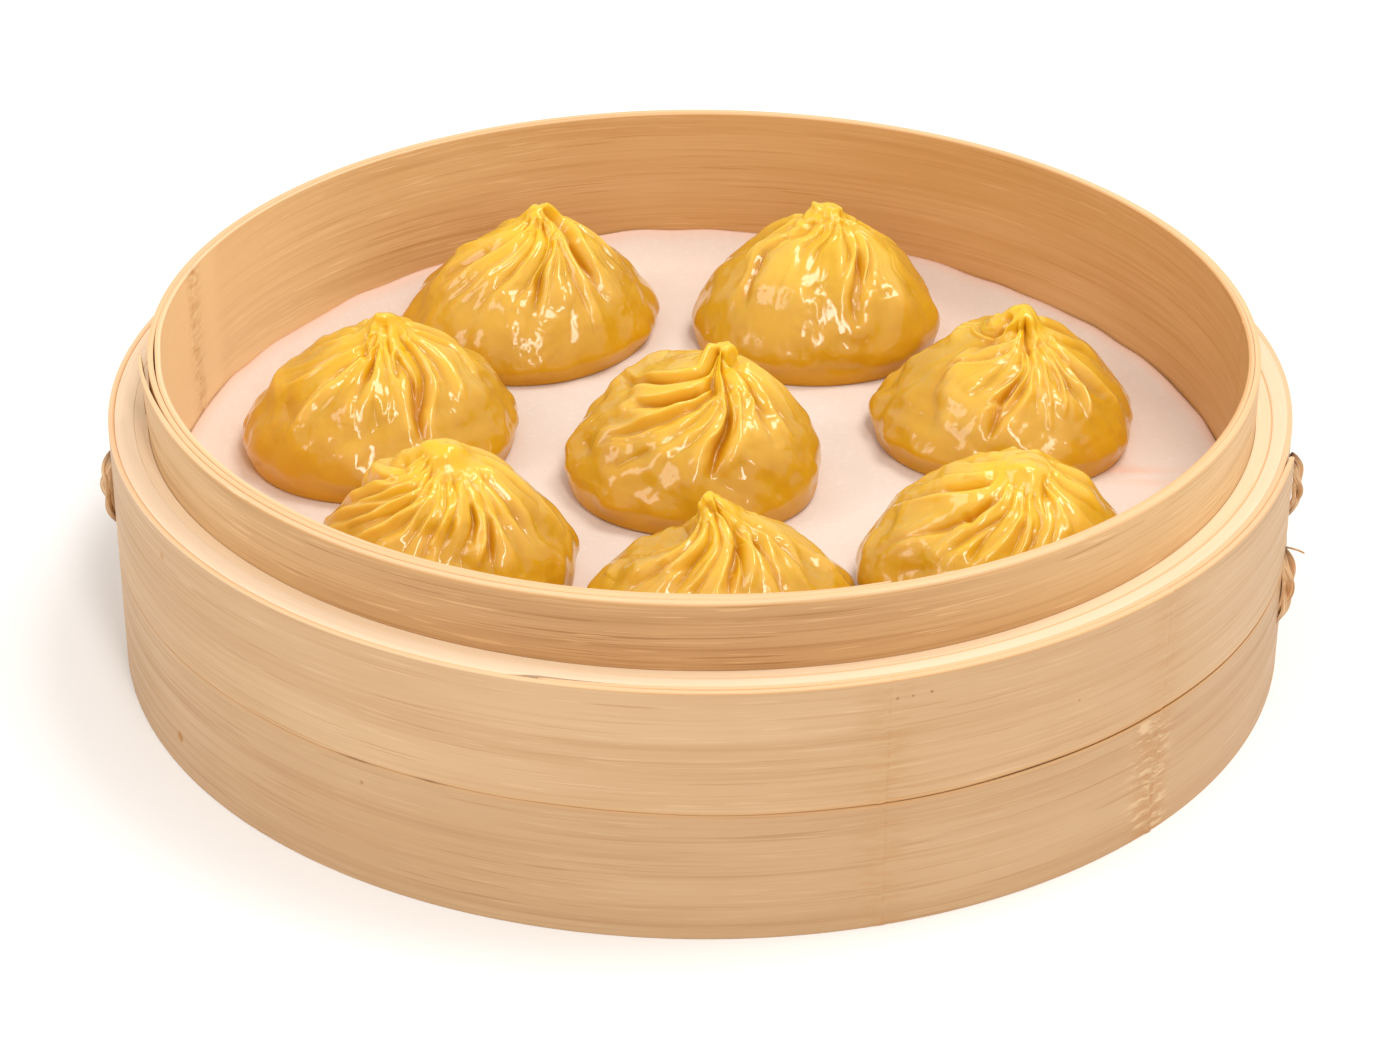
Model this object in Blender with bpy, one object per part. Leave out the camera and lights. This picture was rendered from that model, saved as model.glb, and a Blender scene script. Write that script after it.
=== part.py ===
"""Soup dumplings on a paper liner in a round bamboo steamer basket.

Units are metres and +Z is up. The origin is the centre of the basket's foot, the
front of the basket faces -Y and +X is on its right. Azimuths are in degrees,
counter-clockwise from +X as seen from above, so the front is at -90.

The basket is made of bent bamboo strips: a thin strip coiled a little over two
turns stands inside two thick hoops, and two thin lapped skins wrap the hoops, one
above the other. Three cane stitches hold the laps. Slats on crossbars carry the
paper liner, and the dumplings stand on the liner.
"""

import math

import bpy
import numpy as np

GAP = 0.0003

# Basket wall.
OUTER_RADIUS = 0.110
HOOP_HEIGHT = 0.0482
SKIN_SPLIT_HEIGHT = 0.0244
SKIN_THICKNESS = 0.0011
SKIN_SHAVED = 0.0006
SKIN_LAP = 12.0
LAP_GAP = 0.0001
UPPER_SKIN_END = -14.0
LOWER_SKIN_END = 150.0
SKIN_INNER_RADIUS = OUTER_RADIUS - 2 * SKIN_SHAVED - LAP_GAP
HOOP_OUTER_RADIUS = SKIN_INNER_RADIUS - GAP
HOOP_SPLIT_RADIUS = 0.1053
HOOP_INNER_RADIUS = 0.1033
RING_STEPS = 60

# Coiled strip, whose upper edge is the rim.
RIM_HEIGHT = 0.0608
COIL_BOTTOM = 0.0140
COIL_CENTRE = (-0.0002, -0.0002)
COIL_INNER_RADIUS = 0.0993
COIL_THICKNESS = 0.00102
COIL_PITCH = 0.00112
COIL_INNER_END = -72.0
COIL_OUTER_END = -172.0
COIL_WHOLE_TURNS = 2
COIL_TAPER = 24.0
COIL_TIP_THICKNESS = 0.0005
COIL_STEPS_PER_TURN = 48

# Floor and liner.
FLOOR_RADIUS = 0.0985
SLAT_COUNT = 9
SLAT_PITCH = 0.0216
SLAT_GAP = 0.0036
SLAT_THICKNESS = 0.0032
SLAT_TOP = 0.0277
CROSSBAR_PLACES = (-0.052, 0.0, 0.052)
CROSSBAR_WIDTH = 0.011
CROSSBAR_DEPTH = 0.0064
LINER_RADIUS = 0.0981
LINER_FLAT_RADIUS = 0.0945
LINER_THICKNESS = 0.00035
LINER_CURL = 0.0014
LINER_BACK_CURL = 0.0036
LINER_BACK = 95.0
LINER_WAVES = 5
LINER_WAVE = 0.0004
LINER_STEPS = 40

# Cane stitches: azimuth, lower end, upper end.
STITCHES = {
    "stitch_left": (-170.0, 0.0285, 0.0425),
    "stitch_right_upper": (-11.5, 0.0325, 0.0472),
    "stitch_right_lower": (-14.5, 0.013, 0.029),
}
STITCH_WIDTH = 0.0046
STITCH_THICKNESS = 0.0013
STITCH_STAND_OFF = 0.0029
STITCH_END_WIDTH = 0.55
STITCH_STATIONS = 7
STITCH_CORNERS = 8

# Dumplings.
DUMPLING_BASE = SLAT_TOP + 2 * GAP + LINER_THICKNESS
TIP_DROP = 0.0002
CAP_TURNS = (22.0, 36.0)
SIDE_TURNS = (48.0, 58.5, 69.0, 79.5)
WIDEST_TURN = 90.0
UNDER_TURNS = (122.0, 150.0)
COLUMN_SHARES = (0.0, 0.32, 0.68)
FOOT_TUCK = 0.09
LEAN_POWER = 1.5
PLEAT_NEAR = 0.3
PLEAT_FAR = 0.7
PLEAT_SPAN = (0.15, 0.90)
PLEAT_TOP = 0.06
PLEAT_FULL = 0.24
PLEAT_FADE = 0.30
PLEAT_SHARPNESS = 1.3
PLEAT_DEPTH = 0.0015
PLEAT_LIMIT = 0.0021
PLEAT_SWELL = 0.0005
SWELL_FADE = (0.60, 0.95)
PLEAT_WIDTH_TOP = 0.0006
PLEAT_WIDTH_FOOT = 0.0022

# One row for each dumpling, lengths in millimetres. The centre is where its foot
# stands, peak is how far the knob leans, round and steep are the two powers of the
# side's curve, widest is the height of the widest place as a share of the whole
# height, and knob is the radius and height of the gathered tip. Outline rows are
# waves of the foot: number of lobes, share of the radius and azimuth of a lobe.
# A pleat row is a valley: its azimuth three tenths of the way out from the tip, its
# azimuth seven tenths of the way out, how far out it reaches and its relative depth.
DUMPLINGS = (
    dict(
        centre=(-34.5, 62.4), radius=25.7, height=27.8, peak=(1.2, -0.6),
        round=1.30, steep=1.30, widest=0.13, knob=(3.9, 2.2),
        outline=((1, 0.050, -123), (2, 0.060, 52)),
        pleats=(
            (-158, -197, 0.80, 0.9), (-131, -158, 0.80, 1.0), (-110, -140, 0.85, 0.8),
            (-96, -121, 0.80, 0.9), (-76, -104, 0.75, 1.0), (-65, -91, 0.80, 0.8),
            (-52, -60, 0.95, 0.8), (-22, -38, 0.80, 1.6), (28, -2, 0.80, 0.6),
            (62, 45, 0.80, 0.9), (95, 86, 0.85, 0.8), (128, 122, 0.80, 0.9),
            (165, 146, 0.75, 0.7),
        ),
    ),
    dict(
        centre=(23.5, 61.5), radius=25.2, height=28.9, peak=(1.2, 0.3),
        round=1.32, steep=1.50, widest=0.16, knob=(4.7, 3.6),
        outline=((1, 0.035, -154), (2, 0.030, 82), (3, 0.035, -27)),
        pleats=(
            (-147, -143, 0.85, 1.1), (-118, -117, 0.60, 0.5), (-88, -98, 0.55, 0.5),
            (-58, -84, 0.65, 0.6), (-38, -68, 0.85, 1.0), (-20, -50, 0.70, 0.8),
            (6, -10, 0.70, 0.6), (40, 28, 0.80, 0.8), (75, 66, 0.80, 0.8),
            (108, 104, 0.80, 0.9), (142, 138, 0.80, 0.7), (175, 176, 0.75, 0.7),
        ),
    ),
    dict(
        centre=(-61.7, 12.3), radius=26.2, height=27.5, peak=(1.5, 0.0),
        round=1.36, steep=1.36, widest=0.17, knob=(3.8, 2.6),
        outline=((2, 0.035, 66), (3, 0.023, -26)),
        pleats=(
            (-176, -200, 0.75, 0.7), (-140, -167, 0.80, 0.9), (-112, -136, 0.85, 0.9),
            (-98, -104, 0.75, 0.8), (-86, -88, 0.60, 0.8), (-75, -79, 0.52, 1.3),
            (-60, -71, 0.75, 0.7), (-42, -60, 0.90, 1.5), (-27, -38, 0.80, 0.8),
            (3, -8, 0.75, 0.7), (38, 26, 0.80, 0.8), (72, 62, 0.80, 0.8),
            (108, 98, 0.75, 0.8), (142, 130, 0.75, 0.7),
        ),
    ),
    dict(
        centre=(-2.4, -0.7), radius=24.6, height=27.7, peak=(5.4, 0.6),
        round=1.42, steep=1.46, widest=0.16, knob=(3.0, 2.6),
        outline=((2, 0.050, -69), (3, 0.035, -25)),
        pleats=(
            (-136, -200, 0.75, 1.2), (-97, -168, 0.70, 1.5), (-86, -133, 0.85, 1.2),
            (-78, -113, 0.85, 1.0), (-70, -100, 0.85, 0.9), (-62, -81, 0.90, 1.6),
            (-54, -69, 0.70, 0.7), (-43, -57, 0.75, 0.6), (-28, -44, 0.80, 1.1),
            (-12, -24, 0.85, 0.7), (22, 8, 0.80, 0.8), (56, 40, 0.80, 0.8),
            (92, 74, 0.80, 0.8), (128, 108, 0.75, 0.8), (178, 138, 0.75, 0.7),
        ),
    ),
    dict(
        centre=(59.2, 20.5), radius=25.8, height=26.4, peak=(1.8, 0.0),
        round=1.28, steep=1.32, widest=0.17, knob=(4.0, 3.2),
        outline=((1, 0.035, -130), (2, 0.050, 73), (3, 0.040, -44)),
        pleats=(
            (-160, -184, 0.45, 1.0), (-114, -148, 0.90, 1.1), (-94, -125, 0.70, 0.8),
            (-86, -112, 0.80, 0.9), (-79, -97, 0.90, 1.3), (-72, -83, 0.80, 0.7),
            (-65, -73, 0.85, 0.8), (-57, -63, 0.80, 0.8), (-48, -52, 0.85, 0.8),
            (-38, -33, 0.90, 0.8), (-14, 0, 0.85, 0.5), (30, 32, 0.80, 0.8),
            (68, 66, 0.80, 0.8), (104, 102, 0.75, 0.8), (146, 140, 0.60, 1.1),
        ),
    ),
    dict(
        centre=(-46.0, -42.0), radius=22.8, height=29.0, peak=(0.6, 0.4),
        round=1.62, steep=1.34, widest=0.17, knob=(4.4, 2.4),
        outline=((2, 0.030, 10),),
        pleats=(
            (-168, -206, 0.75, 0.8), (-142, -194, 0.80, 1.0), (-124, -180, 0.90, 1.0),
            (-109, -160, 0.90, 1.0), (-99, -143, 0.85, 1.0), (-90, -127, 0.85, 0.9),
            (-81, -111, 0.85, 0.8), (-72, -98, 0.90, 1.0), (-63, -86, 0.85, 0.9),
            (-53, -72, 0.90, 1.4), (-44, -58, 0.95, 1.5), (-36, -44, 0.85, 0.8),
            (-24, -29, 0.90, 0.8), (8, -3, 0.85, 0.7), (46, 32, 0.80, 0.8),
            (84, 68, 0.80, 0.8), (122, 100, 0.80, 0.8), (158, 130, 0.75, 0.8),
        ),
    ),
    dict(
        centre=(4.2, -56.3), radius=22.8, height=27.2, peak=(-3.0, 0.2),
        round=1.22, steep=1.30, widest=0.17, knob=(3.9, 3.0),
        outline=((2, 0.030, 0),),
        pleats=(
            (-149, -178, 0.80, 0.8), (-122, -148, 0.85, 0.9), (-99, -125, 0.85, 0.9),
            (-80, -105, 0.85, 1.0), (-67, -86, 0.85, 1.5), (-56, -74, 0.75, 0.7),
            (-44, -60, 0.60, 1.1), (-31, -45, 0.85, 0.9), (-14, -20, 0.80, 0.8),
            (22, 10, 0.85, 0.7), (58, 46, 0.80, 0.8), (94, 82, 0.80, 0.8),
            (130, 116, 0.80, 0.8), (172, 150, 0.75, 0.8),
        ),
    ),
    dict(
        centre=(52.4, -43.0), radius=24.2, height=28.5, peak=(3.4, 0.0),
        round=1.74, steep=1.44, widest=0.18, knob=(5.0, 1.8),
        outline=((2, 0.020, 20),),
        pleats=(
            (-168, -209, 0.80, 1.0), (-133, -182, 0.85, 0.9), (-102, -150, 0.90, 1.3),
            (-90, -126, 0.95, 1.1), (-81, -110, 0.90, 1.0), (-73, -94, 0.80, 0.7),
            (-65, -81, 0.85, 1.2), (-54, -67, 0.80, 0.8), (-44, -50, 0.80, 0.8),
            (-26, -16, 0.80, 0.8), (8, 8, 0.80, 0.7), (44, 40, 0.80, 0.8),
            (80, 72, 0.80, 0.8), (118, 102, 0.80, 0.8), (154, 130, 0.75, 0.7),
        ),
    ),
)

MATERIALS = {
    "pale_bamboo": ((0.78, 0.56, 0.33), 0.55),
    "bamboo_skin": ((0.64, 0.42, 0.22), 0.50),
    "cane": ((0.42, 0.24, 0.10), 0.60),
    "white_paper": ((0.88, 0.82, 0.76), 0.80),
    "dough": ((0.83, 0.50, 0.08), 0.25),
}


def clear_scene():
    for old in list(bpy.data.objects):
        bpy.data.objects.remove(old, do_unlink=True)


def make_material(name):
    """A Principled material with the colour and roughness of one finish."""
    colour, roughness = MATERIALS[name]
    material = bpy.data.materials.new(name)
    material.use_nodes = True
    shader = material.node_tree.nodes["Principled BSDF"]
    shader.inputs["Base Color"].default_value = (*colour, 1.0)
    shader.inputs["Roughness"].default_value = roughness
    shader.inputs["Metallic"].default_value = 0.0
    return material


def add_object(name, points, faces, material, smooth_below=None):
    """Makes a mesh object, smooth where its faces meet below an angle in degrees."""
    mesh = bpy.data.meshes.new(name)
    mesh.from_pydata([tuple(point) for point in points], [], [tuple(face) for face in faces])
    mesh.validate()
    if smooth_below is not None:
        mesh.shade_smooth()
        mesh.set_sharp_from_angle(angle=math.radians(smooth_below))
    mesh.materials.append(material)
    thing = bpy.data.objects.new(name, mesh)
    bpy.context.scene.collection.objects.link(thing)
    return thing


def polar(centre, radius, azimuth):
    """The point at a radius and an azimuth in degrees from a centre."""
    angle = np.radians(azimuth)
    return centre[0] + radius * np.cos(angle), centre[1] + radius * np.sin(angle)


def swept_faces(stations, corners, closed):
    """Quads between the stations of a swept section, with end caps if it is open."""
    faces = []
    for station in range(stations if closed else stations - 1):
        here = station * corners
        there = (station + 1) % stations * corners
        for corner in range(corners):
            after = (corner + 1) % corners
            faces.append((here + corner, here + after, there + after, there + corner))
    if not closed:
        last = (stations - 1) * corners
        faces.append(tuple(range(corners - 1, -1, -1)))
        faces.append(tuple(last + corner for corner in range(corners)))
    return faces


def bent_strip(name, material, centre, azimuths, inner, outer, bottom, top, closed):
    """A flat strip standing on edge, whose two faces follow radii round the centre."""
    points = []
    for azimuth, near, far in zip(azimuths, inner, outer):
        near_x, near_y = polar(centre, near, azimuth)
        far_x, far_y = polar(centre, far, azimuth)
        points.append((far_x, far_y, bottom))
        points.append((far_x, far_y, top))
        points.append((near_x, near_y, top))
        points.append((near_x, near_y, bottom))
    faces = swept_faces(len(azimuths), 4, closed)
    if azimuths[1] > azimuths[0]:
        faces = [face[::-1] for face in faces]
    return add_object(name, points, faces, material, 30)


def make_hoop(name, material, inner_radius, outer_radius):
    """A thick closed hoop of the wall."""
    azimuths = np.arange(RING_STEPS) * 360.0 / RING_STEPS
    inner = np.full(RING_STEPS, inner_radius)
    outer = np.full(RING_STEPS, outer_radius)
    return bent_strip(name, material, (0, 0), azimuths, inner, outer, 0.0, HOOP_HEIGHT, True)


def make_skin(name, material, outer_end, bottom, top):
    """A thin skin whose shaved ends lap: it runs clockwise from its inner end."""
    step = 360.0 / RING_STEPS
    turned = np.arange(0.0, 360.0 + SKIN_LAP + step / 2, step)
    azimuths = outer_end + 360.0 + SKIN_LAP - turned
    rising = np.clip((turned - 360.0) / SKIN_LAP + 1, 0, 1)
    growing = np.clip(turned / SKIN_LAP - 1, 0, 1)
    full = SKIN_THICKNESS - SKIN_SHAVED
    inner = SKIN_INNER_RADIUS + (SKIN_SHAVED + LAP_GAP) * rising
    outer = inner + SKIN_SHAVED + full * growing * (1 - rising)
    return bent_strip(name, material, (0, 0), azimuths, inner, outer, bottom, top, False)


def make_coil(material):
    """The coiled strip: its radius grows by the pitch each turn, its ends are shaved."""
    sweep = (COIL_INNER_END - COIL_OUTER_END) + 360.0 * COIL_WHOLE_TURNS
    steps = round(sweep * COIL_STEPS_PER_TURN / 360.0)
    turned = np.linspace(0.0, sweep, steps + 1)
    azimuths = COIL_INNER_END - turned
    from_end = np.minimum(turned, sweep - turned)
    shaved = np.clip(1 - from_end / COIL_TAPER, 0, 1)
    thickness = COIL_THICKNESS - (COIL_THICKNESS - COIL_TIP_THICKNESS) * shaved
    inner = COIL_INNER_RADIUS + COIL_PITCH * turned / 360.0
    at_start = turned < sweep / 2
    inner = np.where(at_start, inner + COIL_THICKNESS - thickness, inner)
    outer = inner + thickness
    return bent_strip(
        "coiled_strip", material, COIL_CENTRE, azimuths, inner, outer, COIL_BOTTOM, RIM_HEIGHT, False
    )


def box_outline(name, material, outline, bottom, top):
    """A flat piece with a four-cornered outline."""
    low = [(x, y, bottom) for x, y in outline]
    high = [(x, y, top) for x, y in outline]
    faces = [(3, 2, 1, 0), (4, 5, 6, 7)]
    for side in range(4):
        after = (side + 1) % 4
        faces.append((side, after, after + 4, side + 4))
    return add_object(name, low + high, faces, material)


def half_chord(distance):
    """Half the length of the floor's chord at a distance from its centre."""
    return math.sqrt(FLOOR_RADIUS**2 - distance**2)


def make_slats(material):
    """Slats along X, each cut at both ends to the round of the wall."""
    for place in range(SLAT_COUNT):
        middle = (place - (SLAT_COUNT - 1) / 2) * SLAT_PITCH
        front = middle - (SLAT_PITCH - SLAT_GAP) / 2
        back = middle + (SLAT_PITCH - SLAT_GAP) / 2
        outline = [
            (-half_chord(front), front),
            (half_chord(front), front),
            (half_chord(back), back),
            (-half_chord(back), back),
        ]
        name = f"floor_slat_{place + 1}"
        box_outline(name, material, outline, SLAT_TOP - SLAT_THICKNESS, SLAT_TOP)


def make_crossbars(material):
    """Bars along Y that carry the slats."""
    top = SLAT_TOP - SLAT_THICKNESS - GAP
    for number, place in enumerate(CROSSBAR_PLACES, 1):
        left = place - CROSSBAR_WIDTH / 2
        right = place + CROSSBAR_WIDTH / 2
        outline = [
            (left, -half_chord(left)),
            (right, -half_chord(right)),
            (right, half_chord(right)),
            (left, half_chord(left)),
        ]
        box_outline(f"crossbar_{number}", material, outline, top - CROSSBAR_DEPTH, top)


def make_liner(material):
    """A thin round sheet whose edge curls up against the wall, most at the back."""
    azimuths = np.arange(LINER_STEPS) * 360.0 / LINER_STEPS
    behind = np.clip(np.cos(np.radians(azimuths - LINER_BACK)), 0, 1) ** 2
    curl = LINER_CURL + LINER_BACK_CURL * behind
    bottom = SLAT_TOP + GAP
    edge = LINER_RADIUS + LINER_WAVE * np.cos(np.radians(LINER_WAVES * azimuths))
    points = [(0, 0, bottom), (0, 0, bottom + LINER_THICKNESS)]
    rows = []
    for level in (0.0, LINER_THICKNESS):
        for share in (0.0, 1.0):
            radius = LINER_FLAT_RADIUS + share * (edge - LINER_FLAT_RADIUS)
            x, y = polar((0, 0), radius, azimuths)
            rows.append(len(points))
            points.extend(zip(x, y, bottom + level + share * curl))
    low_flat, low_edge, high_flat, high_edge = rows
    faces = []
    for here in range(LINER_STEPS):
        after = (here + 1) % LINER_STEPS
        faces.append((0, low_flat + after, low_flat + here))
        faces.append((1, high_flat + here, high_flat + after))
        faces.append((low_flat + here, low_flat + after, low_edge + after, low_edge + here))
        faces.append((low_edge + here, low_edge + after, high_edge + after, high_edge + here))
        faces.append((high_edge + here, high_edge + after, high_flat + after, high_flat + here))
    return add_object("paper_liner", points, faces, material, 30)


def make_stitch(name, azimuth, low, high, material):
    """A flat bundle of cane that arches out from the wall between two holes."""
    angle = math.radians(azimuth)
    out = np.array((math.cos(angle), math.sin(angle), 0.0))
    side = np.array((-math.sin(angle), math.cos(angle), 0.0))
    points = []
    round_off = 1 / math.cos(math.pi / STITCH_CORNERS)
    for share in np.linspace(0.0, 1.0, STITCH_STATIONS):
        bulge = math.sin(math.pi * share)
        middle = OUTER_RADIUS + GAP + STITCH_THICKNESS / 2
        middle += (STITCH_STAND_OFF - GAP - STITCH_THICKNESS) * bulge
        height = low + (high - low) * share
        tilt = math.atan2(
            (STITCH_STAND_OFF - STITCH_THICKNESS) * math.pi * math.cos(math.pi * share), high - low
        )
        across = out * math.cos(tilt) + np.array((0, 0, -math.sin(tilt)))
        width = STITCH_WIDTH * (STITCH_END_WIDTH + (1 - STITCH_END_WIDTH) * bulge)
        for corner in range(STITCH_CORNERS):
            turn = 2 * math.pi * (corner + 0.5) / STITCH_CORNERS
            offset = across * math.cos(turn) * STITCH_THICKNESS / 2
            offset = offset + side * math.sin(turn) * width / 2 * round_off
            points.append(out * middle + np.array((0, 0, height)) + offset)
    faces = swept_faces(STITCH_STATIONS, STITCH_CORNERS, False)
    return add_object(name, points, faces, material, 50)


def smooth_ramp(value, start, end):
    """Rises smoothly from 0 at the start to 1 at the end."""
    share = np.clip((value - start) / (end - start), 0, 1)
    return share * share * (3 - 2 * share)


def pleat_azimuth(pleat, outward):
    """The azimuth of a pleat's valley at a share of the way out from the tip."""
    share = (np.clip(outward, *PLEAT_SPAN) - PLEAT_NEAR) / (PLEAT_FAR - PLEAT_NEAR)
    return pleat[0] + (pleat[1] - pleat[0]) * share


def pleat_relief(pleats, azimuth, outward, radius):
    """How far the pleated skin stands out: it swells, and each valley cuts in."""
    total = np.zeros_like(azimuth)
    width = PLEAT_WIDTH_TOP + (PLEAT_WIDTH_FOOT - PLEAT_WIDTH_TOP) * outward
    for pleat in pleats:
        away = (azimuth - pleat_azimuth(pleat, outward) + 180.0) % 360.0 - 180.0
        distance = np.abs(np.radians(away)) * radius / width
        reach = 1 - smooth_ramp(outward, pleat[2] - PLEAT_FADE, pleat[2])
        total = total + pleat[3] * PLEAT_DEPTH * reach * np.exp(-(distance**PLEAT_SHARPNESS))
    rise = smooth_ramp(outward, PLEAT_TOP, PLEAT_FULL)
    swell = PLEAT_SWELL * rise * (1 - smooth_ramp(outward, *SWELL_FADE))
    return swell - rise * PLEAT_LIMIT * (1 - np.exp(-total / PLEAT_LIMIT))


def dumpling_surface(shape, azimuth, turn):
    """Points of a dumpling: turn runs from 0 at the tip, by 90 at the widest, to the foot."""
    radius = shape["radius"] * 0.001
    height = shape["height"] * 0.001
    knob_radius, knob_height = (0.001 * size for size in shape["knob"])
    down = np.radians(np.minimum(turn, WIDEST_TURN))
    below = np.clip(turn - WIDEST_TURN, 0, None) / (UNDER_TURNS[-1] - WIDEST_TURN)
    under = below * math.pi / 2
    outward = np.sin(down) ** (2 / shape["round"])
    drop = np.cos(down) ** (2 / shape["steep"])
    widest = shape["widest"]
    level = widest + (1 - knob_height / height - widest) * drop - widest * np.sin(under)
    outline = np.ones_like(azimuth)
    for lobes, share, towards in shape["outline"]:
        outline = outline + share * np.cos(lobes * np.radians(azimuth - towards))
    across = radius * outline * (outward - FOOT_TUCK * (1 - np.cos(under)))
    relief = pleat_relief(shape["pleats"], azimuth, outward, across)
    relief = np.where(turn > WIDEST_TURN, 0.0, relief)
    level = height * level + knob_height * np.exp(-((across / knob_radius) ** 4))
    lean = (np.clip(level, 0, None) / height) ** LEAN_POWER
    out = across + relief * np.sin(down)
    level = level + relief * np.cos(down)
    centre_x, centre_y = (0.001 * place for place in shape["centre"])
    peak_x, peak_y = (0.001 * place for place in shape["peak"])
    angle = np.radians(azimuth)
    x = centre_x + peak_x * lean + out * np.cos(angle)
    y = centre_y + peak_y * lean + out * np.sin(angle)
    return np.stack([x, y, DUMPLING_BASE + level], axis=-1)


def dumpling_grid(shape):
    """Turns and azimuths whose lines follow the valleys, with two lines between each."""
    turns = np.array([*CAP_TURNS, *SIDE_TURNS, WIDEST_TURN, *UNDER_TURNS])
    outward = np.sin(np.radians(np.minimum(turns, WIDEST_TURN))) ** (2 / shape["round"])
    valleys = np.array([pleat_azimuth(pleat, outward) for pleat in shape["pleats"]])
    after = np.vstack([valleys[1:], valleys[:1] + 360.0])
    columns = [valleys + (after - valleys) * share for share in COLUMN_SHARES]
    azimuths = np.stack(columns, axis=1).reshape(-1, len(turns)).T
    return np.broadcast_to(turns[:, None], azimuths.shape), azimuths


def make_dumpling(number, shape, material):
    """A solid pleated dumpling with a flat foot and a gathered knob."""
    turns, azimuths = dumpling_grid(shape)
    rows, columns = turns.shape
    skin = dumpling_surface(shape, azimuths, turns).reshape(-1, 3)
    tip = dumpling_surface(shape, np.array([0.0]), np.array([0.0]))
    tip[0, 2] -= TIP_DROP
    points = np.vstack([skin, tip])
    top = rows * columns
    last = (rows - 1) * columns
    faces = []
    for column in range(columns):
        after = (column + 1) % columns
        faces.append((top, column, after))
        for row in range(rows - 1):
            here = row * columns
            below = here + columns
            faces.append((here + column, below + column, below + after, here + after))
    faces.append(tuple(last + column for column in range(columns - 1, -1, -1)))
    return add_object(f"dumpling_{number}", points, faces, material, 60)


def main():
    clear_scene()
    materials = {name: make_material(name) for name in MATERIALS}
    make_hoop("inner_hoop", materials["pale_bamboo"], HOOP_INNER_RADIUS, HOOP_SPLIT_RADIUS - GAP)
    make_hoop("outer_hoop", materials["pale_bamboo"], HOOP_SPLIT_RADIUS, HOOP_OUTER_RADIUS)
    skin = materials["bamboo_skin"]
    make_skin("lower_skin", skin, LOWER_SKIN_END, 0.0, SKIN_SPLIT_HEIGHT - GAP / 2)
    make_skin("upper_skin", skin, UPPER_SKIN_END, SKIN_SPLIT_HEIGHT + GAP / 2, HOOP_HEIGHT)
    make_coil(materials["pale_bamboo"])
    make_slats(materials["pale_bamboo"])
    make_crossbars(materials["pale_bamboo"])
    make_liner(materials["white_paper"])
    for name, (azimuth, low, high) in STITCHES.items():
        make_stitch(name, azimuth, low, high, materials["cane"])
    for number, shape in enumerate(DUMPLINGS, 1):
        make_dumpling(number, shape, materials["dough"])


main()
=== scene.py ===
"""Soup dumplings on a paper liner in a round bamboo steamer basket.

Laid out as an add-on and run as a script. Every piece is a surface worked out with numpy
around the packed model. Lengths are metres, +Z is up, the front of the basket faces -Y,
and azimuths are degrees counter-clockwise from +X as seen from above.
"""

import math

import bpy
import numpy as np
from mathutils import Euler, Matrix, Vector


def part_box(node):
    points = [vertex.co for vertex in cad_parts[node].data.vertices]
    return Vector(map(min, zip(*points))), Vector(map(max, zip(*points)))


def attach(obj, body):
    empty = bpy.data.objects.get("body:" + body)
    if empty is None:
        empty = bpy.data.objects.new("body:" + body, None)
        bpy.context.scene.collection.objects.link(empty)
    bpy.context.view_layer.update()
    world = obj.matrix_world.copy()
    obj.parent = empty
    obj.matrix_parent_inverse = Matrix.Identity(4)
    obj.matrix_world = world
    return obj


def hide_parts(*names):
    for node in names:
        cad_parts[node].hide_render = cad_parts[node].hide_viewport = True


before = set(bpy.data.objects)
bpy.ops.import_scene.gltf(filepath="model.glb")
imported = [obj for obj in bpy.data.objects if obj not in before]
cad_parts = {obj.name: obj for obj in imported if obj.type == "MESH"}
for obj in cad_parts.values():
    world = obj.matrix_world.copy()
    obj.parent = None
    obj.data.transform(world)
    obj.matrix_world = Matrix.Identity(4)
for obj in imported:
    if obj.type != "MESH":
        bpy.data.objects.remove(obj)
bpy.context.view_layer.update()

bl_info = {
    "name": "Soup dumpling basket",
    "version": (1, 0, 0),
    "blender": (4, 5, 0),
    "location": "View3D > Sidebar > Basket",
    "description": "Builds a bamboo steamer basket with eight pleated soup dumplings",
    "category": "Add Mesh",
}

MM = 0.001

# Sizes that come from the packed model.
OUTER_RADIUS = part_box("upper_skin")[1].x
HOOP_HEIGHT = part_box("outer_hoop")[1].z
SEAM_HEIGHT = (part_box("lower_skin")[1].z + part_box("upper_skin")[0].z) / 2
RIM_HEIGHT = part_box("coiled_strip")[1].z
COIL_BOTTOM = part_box("coiled_strip")[0].z
INNER_HOOP_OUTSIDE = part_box("inner_hoop")[1].x
LINER_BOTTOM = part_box("paper_liner")[0].z
SLAT_COUNT = 9
BAR_COUNT = 3

# Wall strips, in millimetres and degrees.
WALL_STEP = 1.0
OUTER = 110.0
SKIN = 1.08
HOOP_SPLIT = 105.3
HOOP_INSIDE = 103.35
SKIN_END = -14.8
SKIN_UNDER_END = -104.0
COIL_CENTRE = (-0.2, -0.2)
COIL_INSIDE = 99.3
COIL_STRIP = 1.09
COIL_PITCH = 1.12
COIL_START = -72.0
COIL_SWEEP = 820.0
COIL_TIP = 0.5


# ---------------------------------------------------------------- numbers


def ramp(value, start, end):
    """0 before the start, 1 after the end, and the smooth cubic 3t^2 - 2t^3 between."""
    share = np.clip((value - start) / (end - start), 0, 1)
    return share * share * (3 - 2 * share)


def bell(value, middle, width):
    """exp(-((value - middle) / width)^2)."""
    return np.exp(-(((value - middle) / width) ** 2))


def turn_away(azimuth, place):
    """Signed degrees from a place round the axis, between -180 and 180."""
    return (azimuth - place + 180.0) % 360.0 - 180.0


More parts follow.
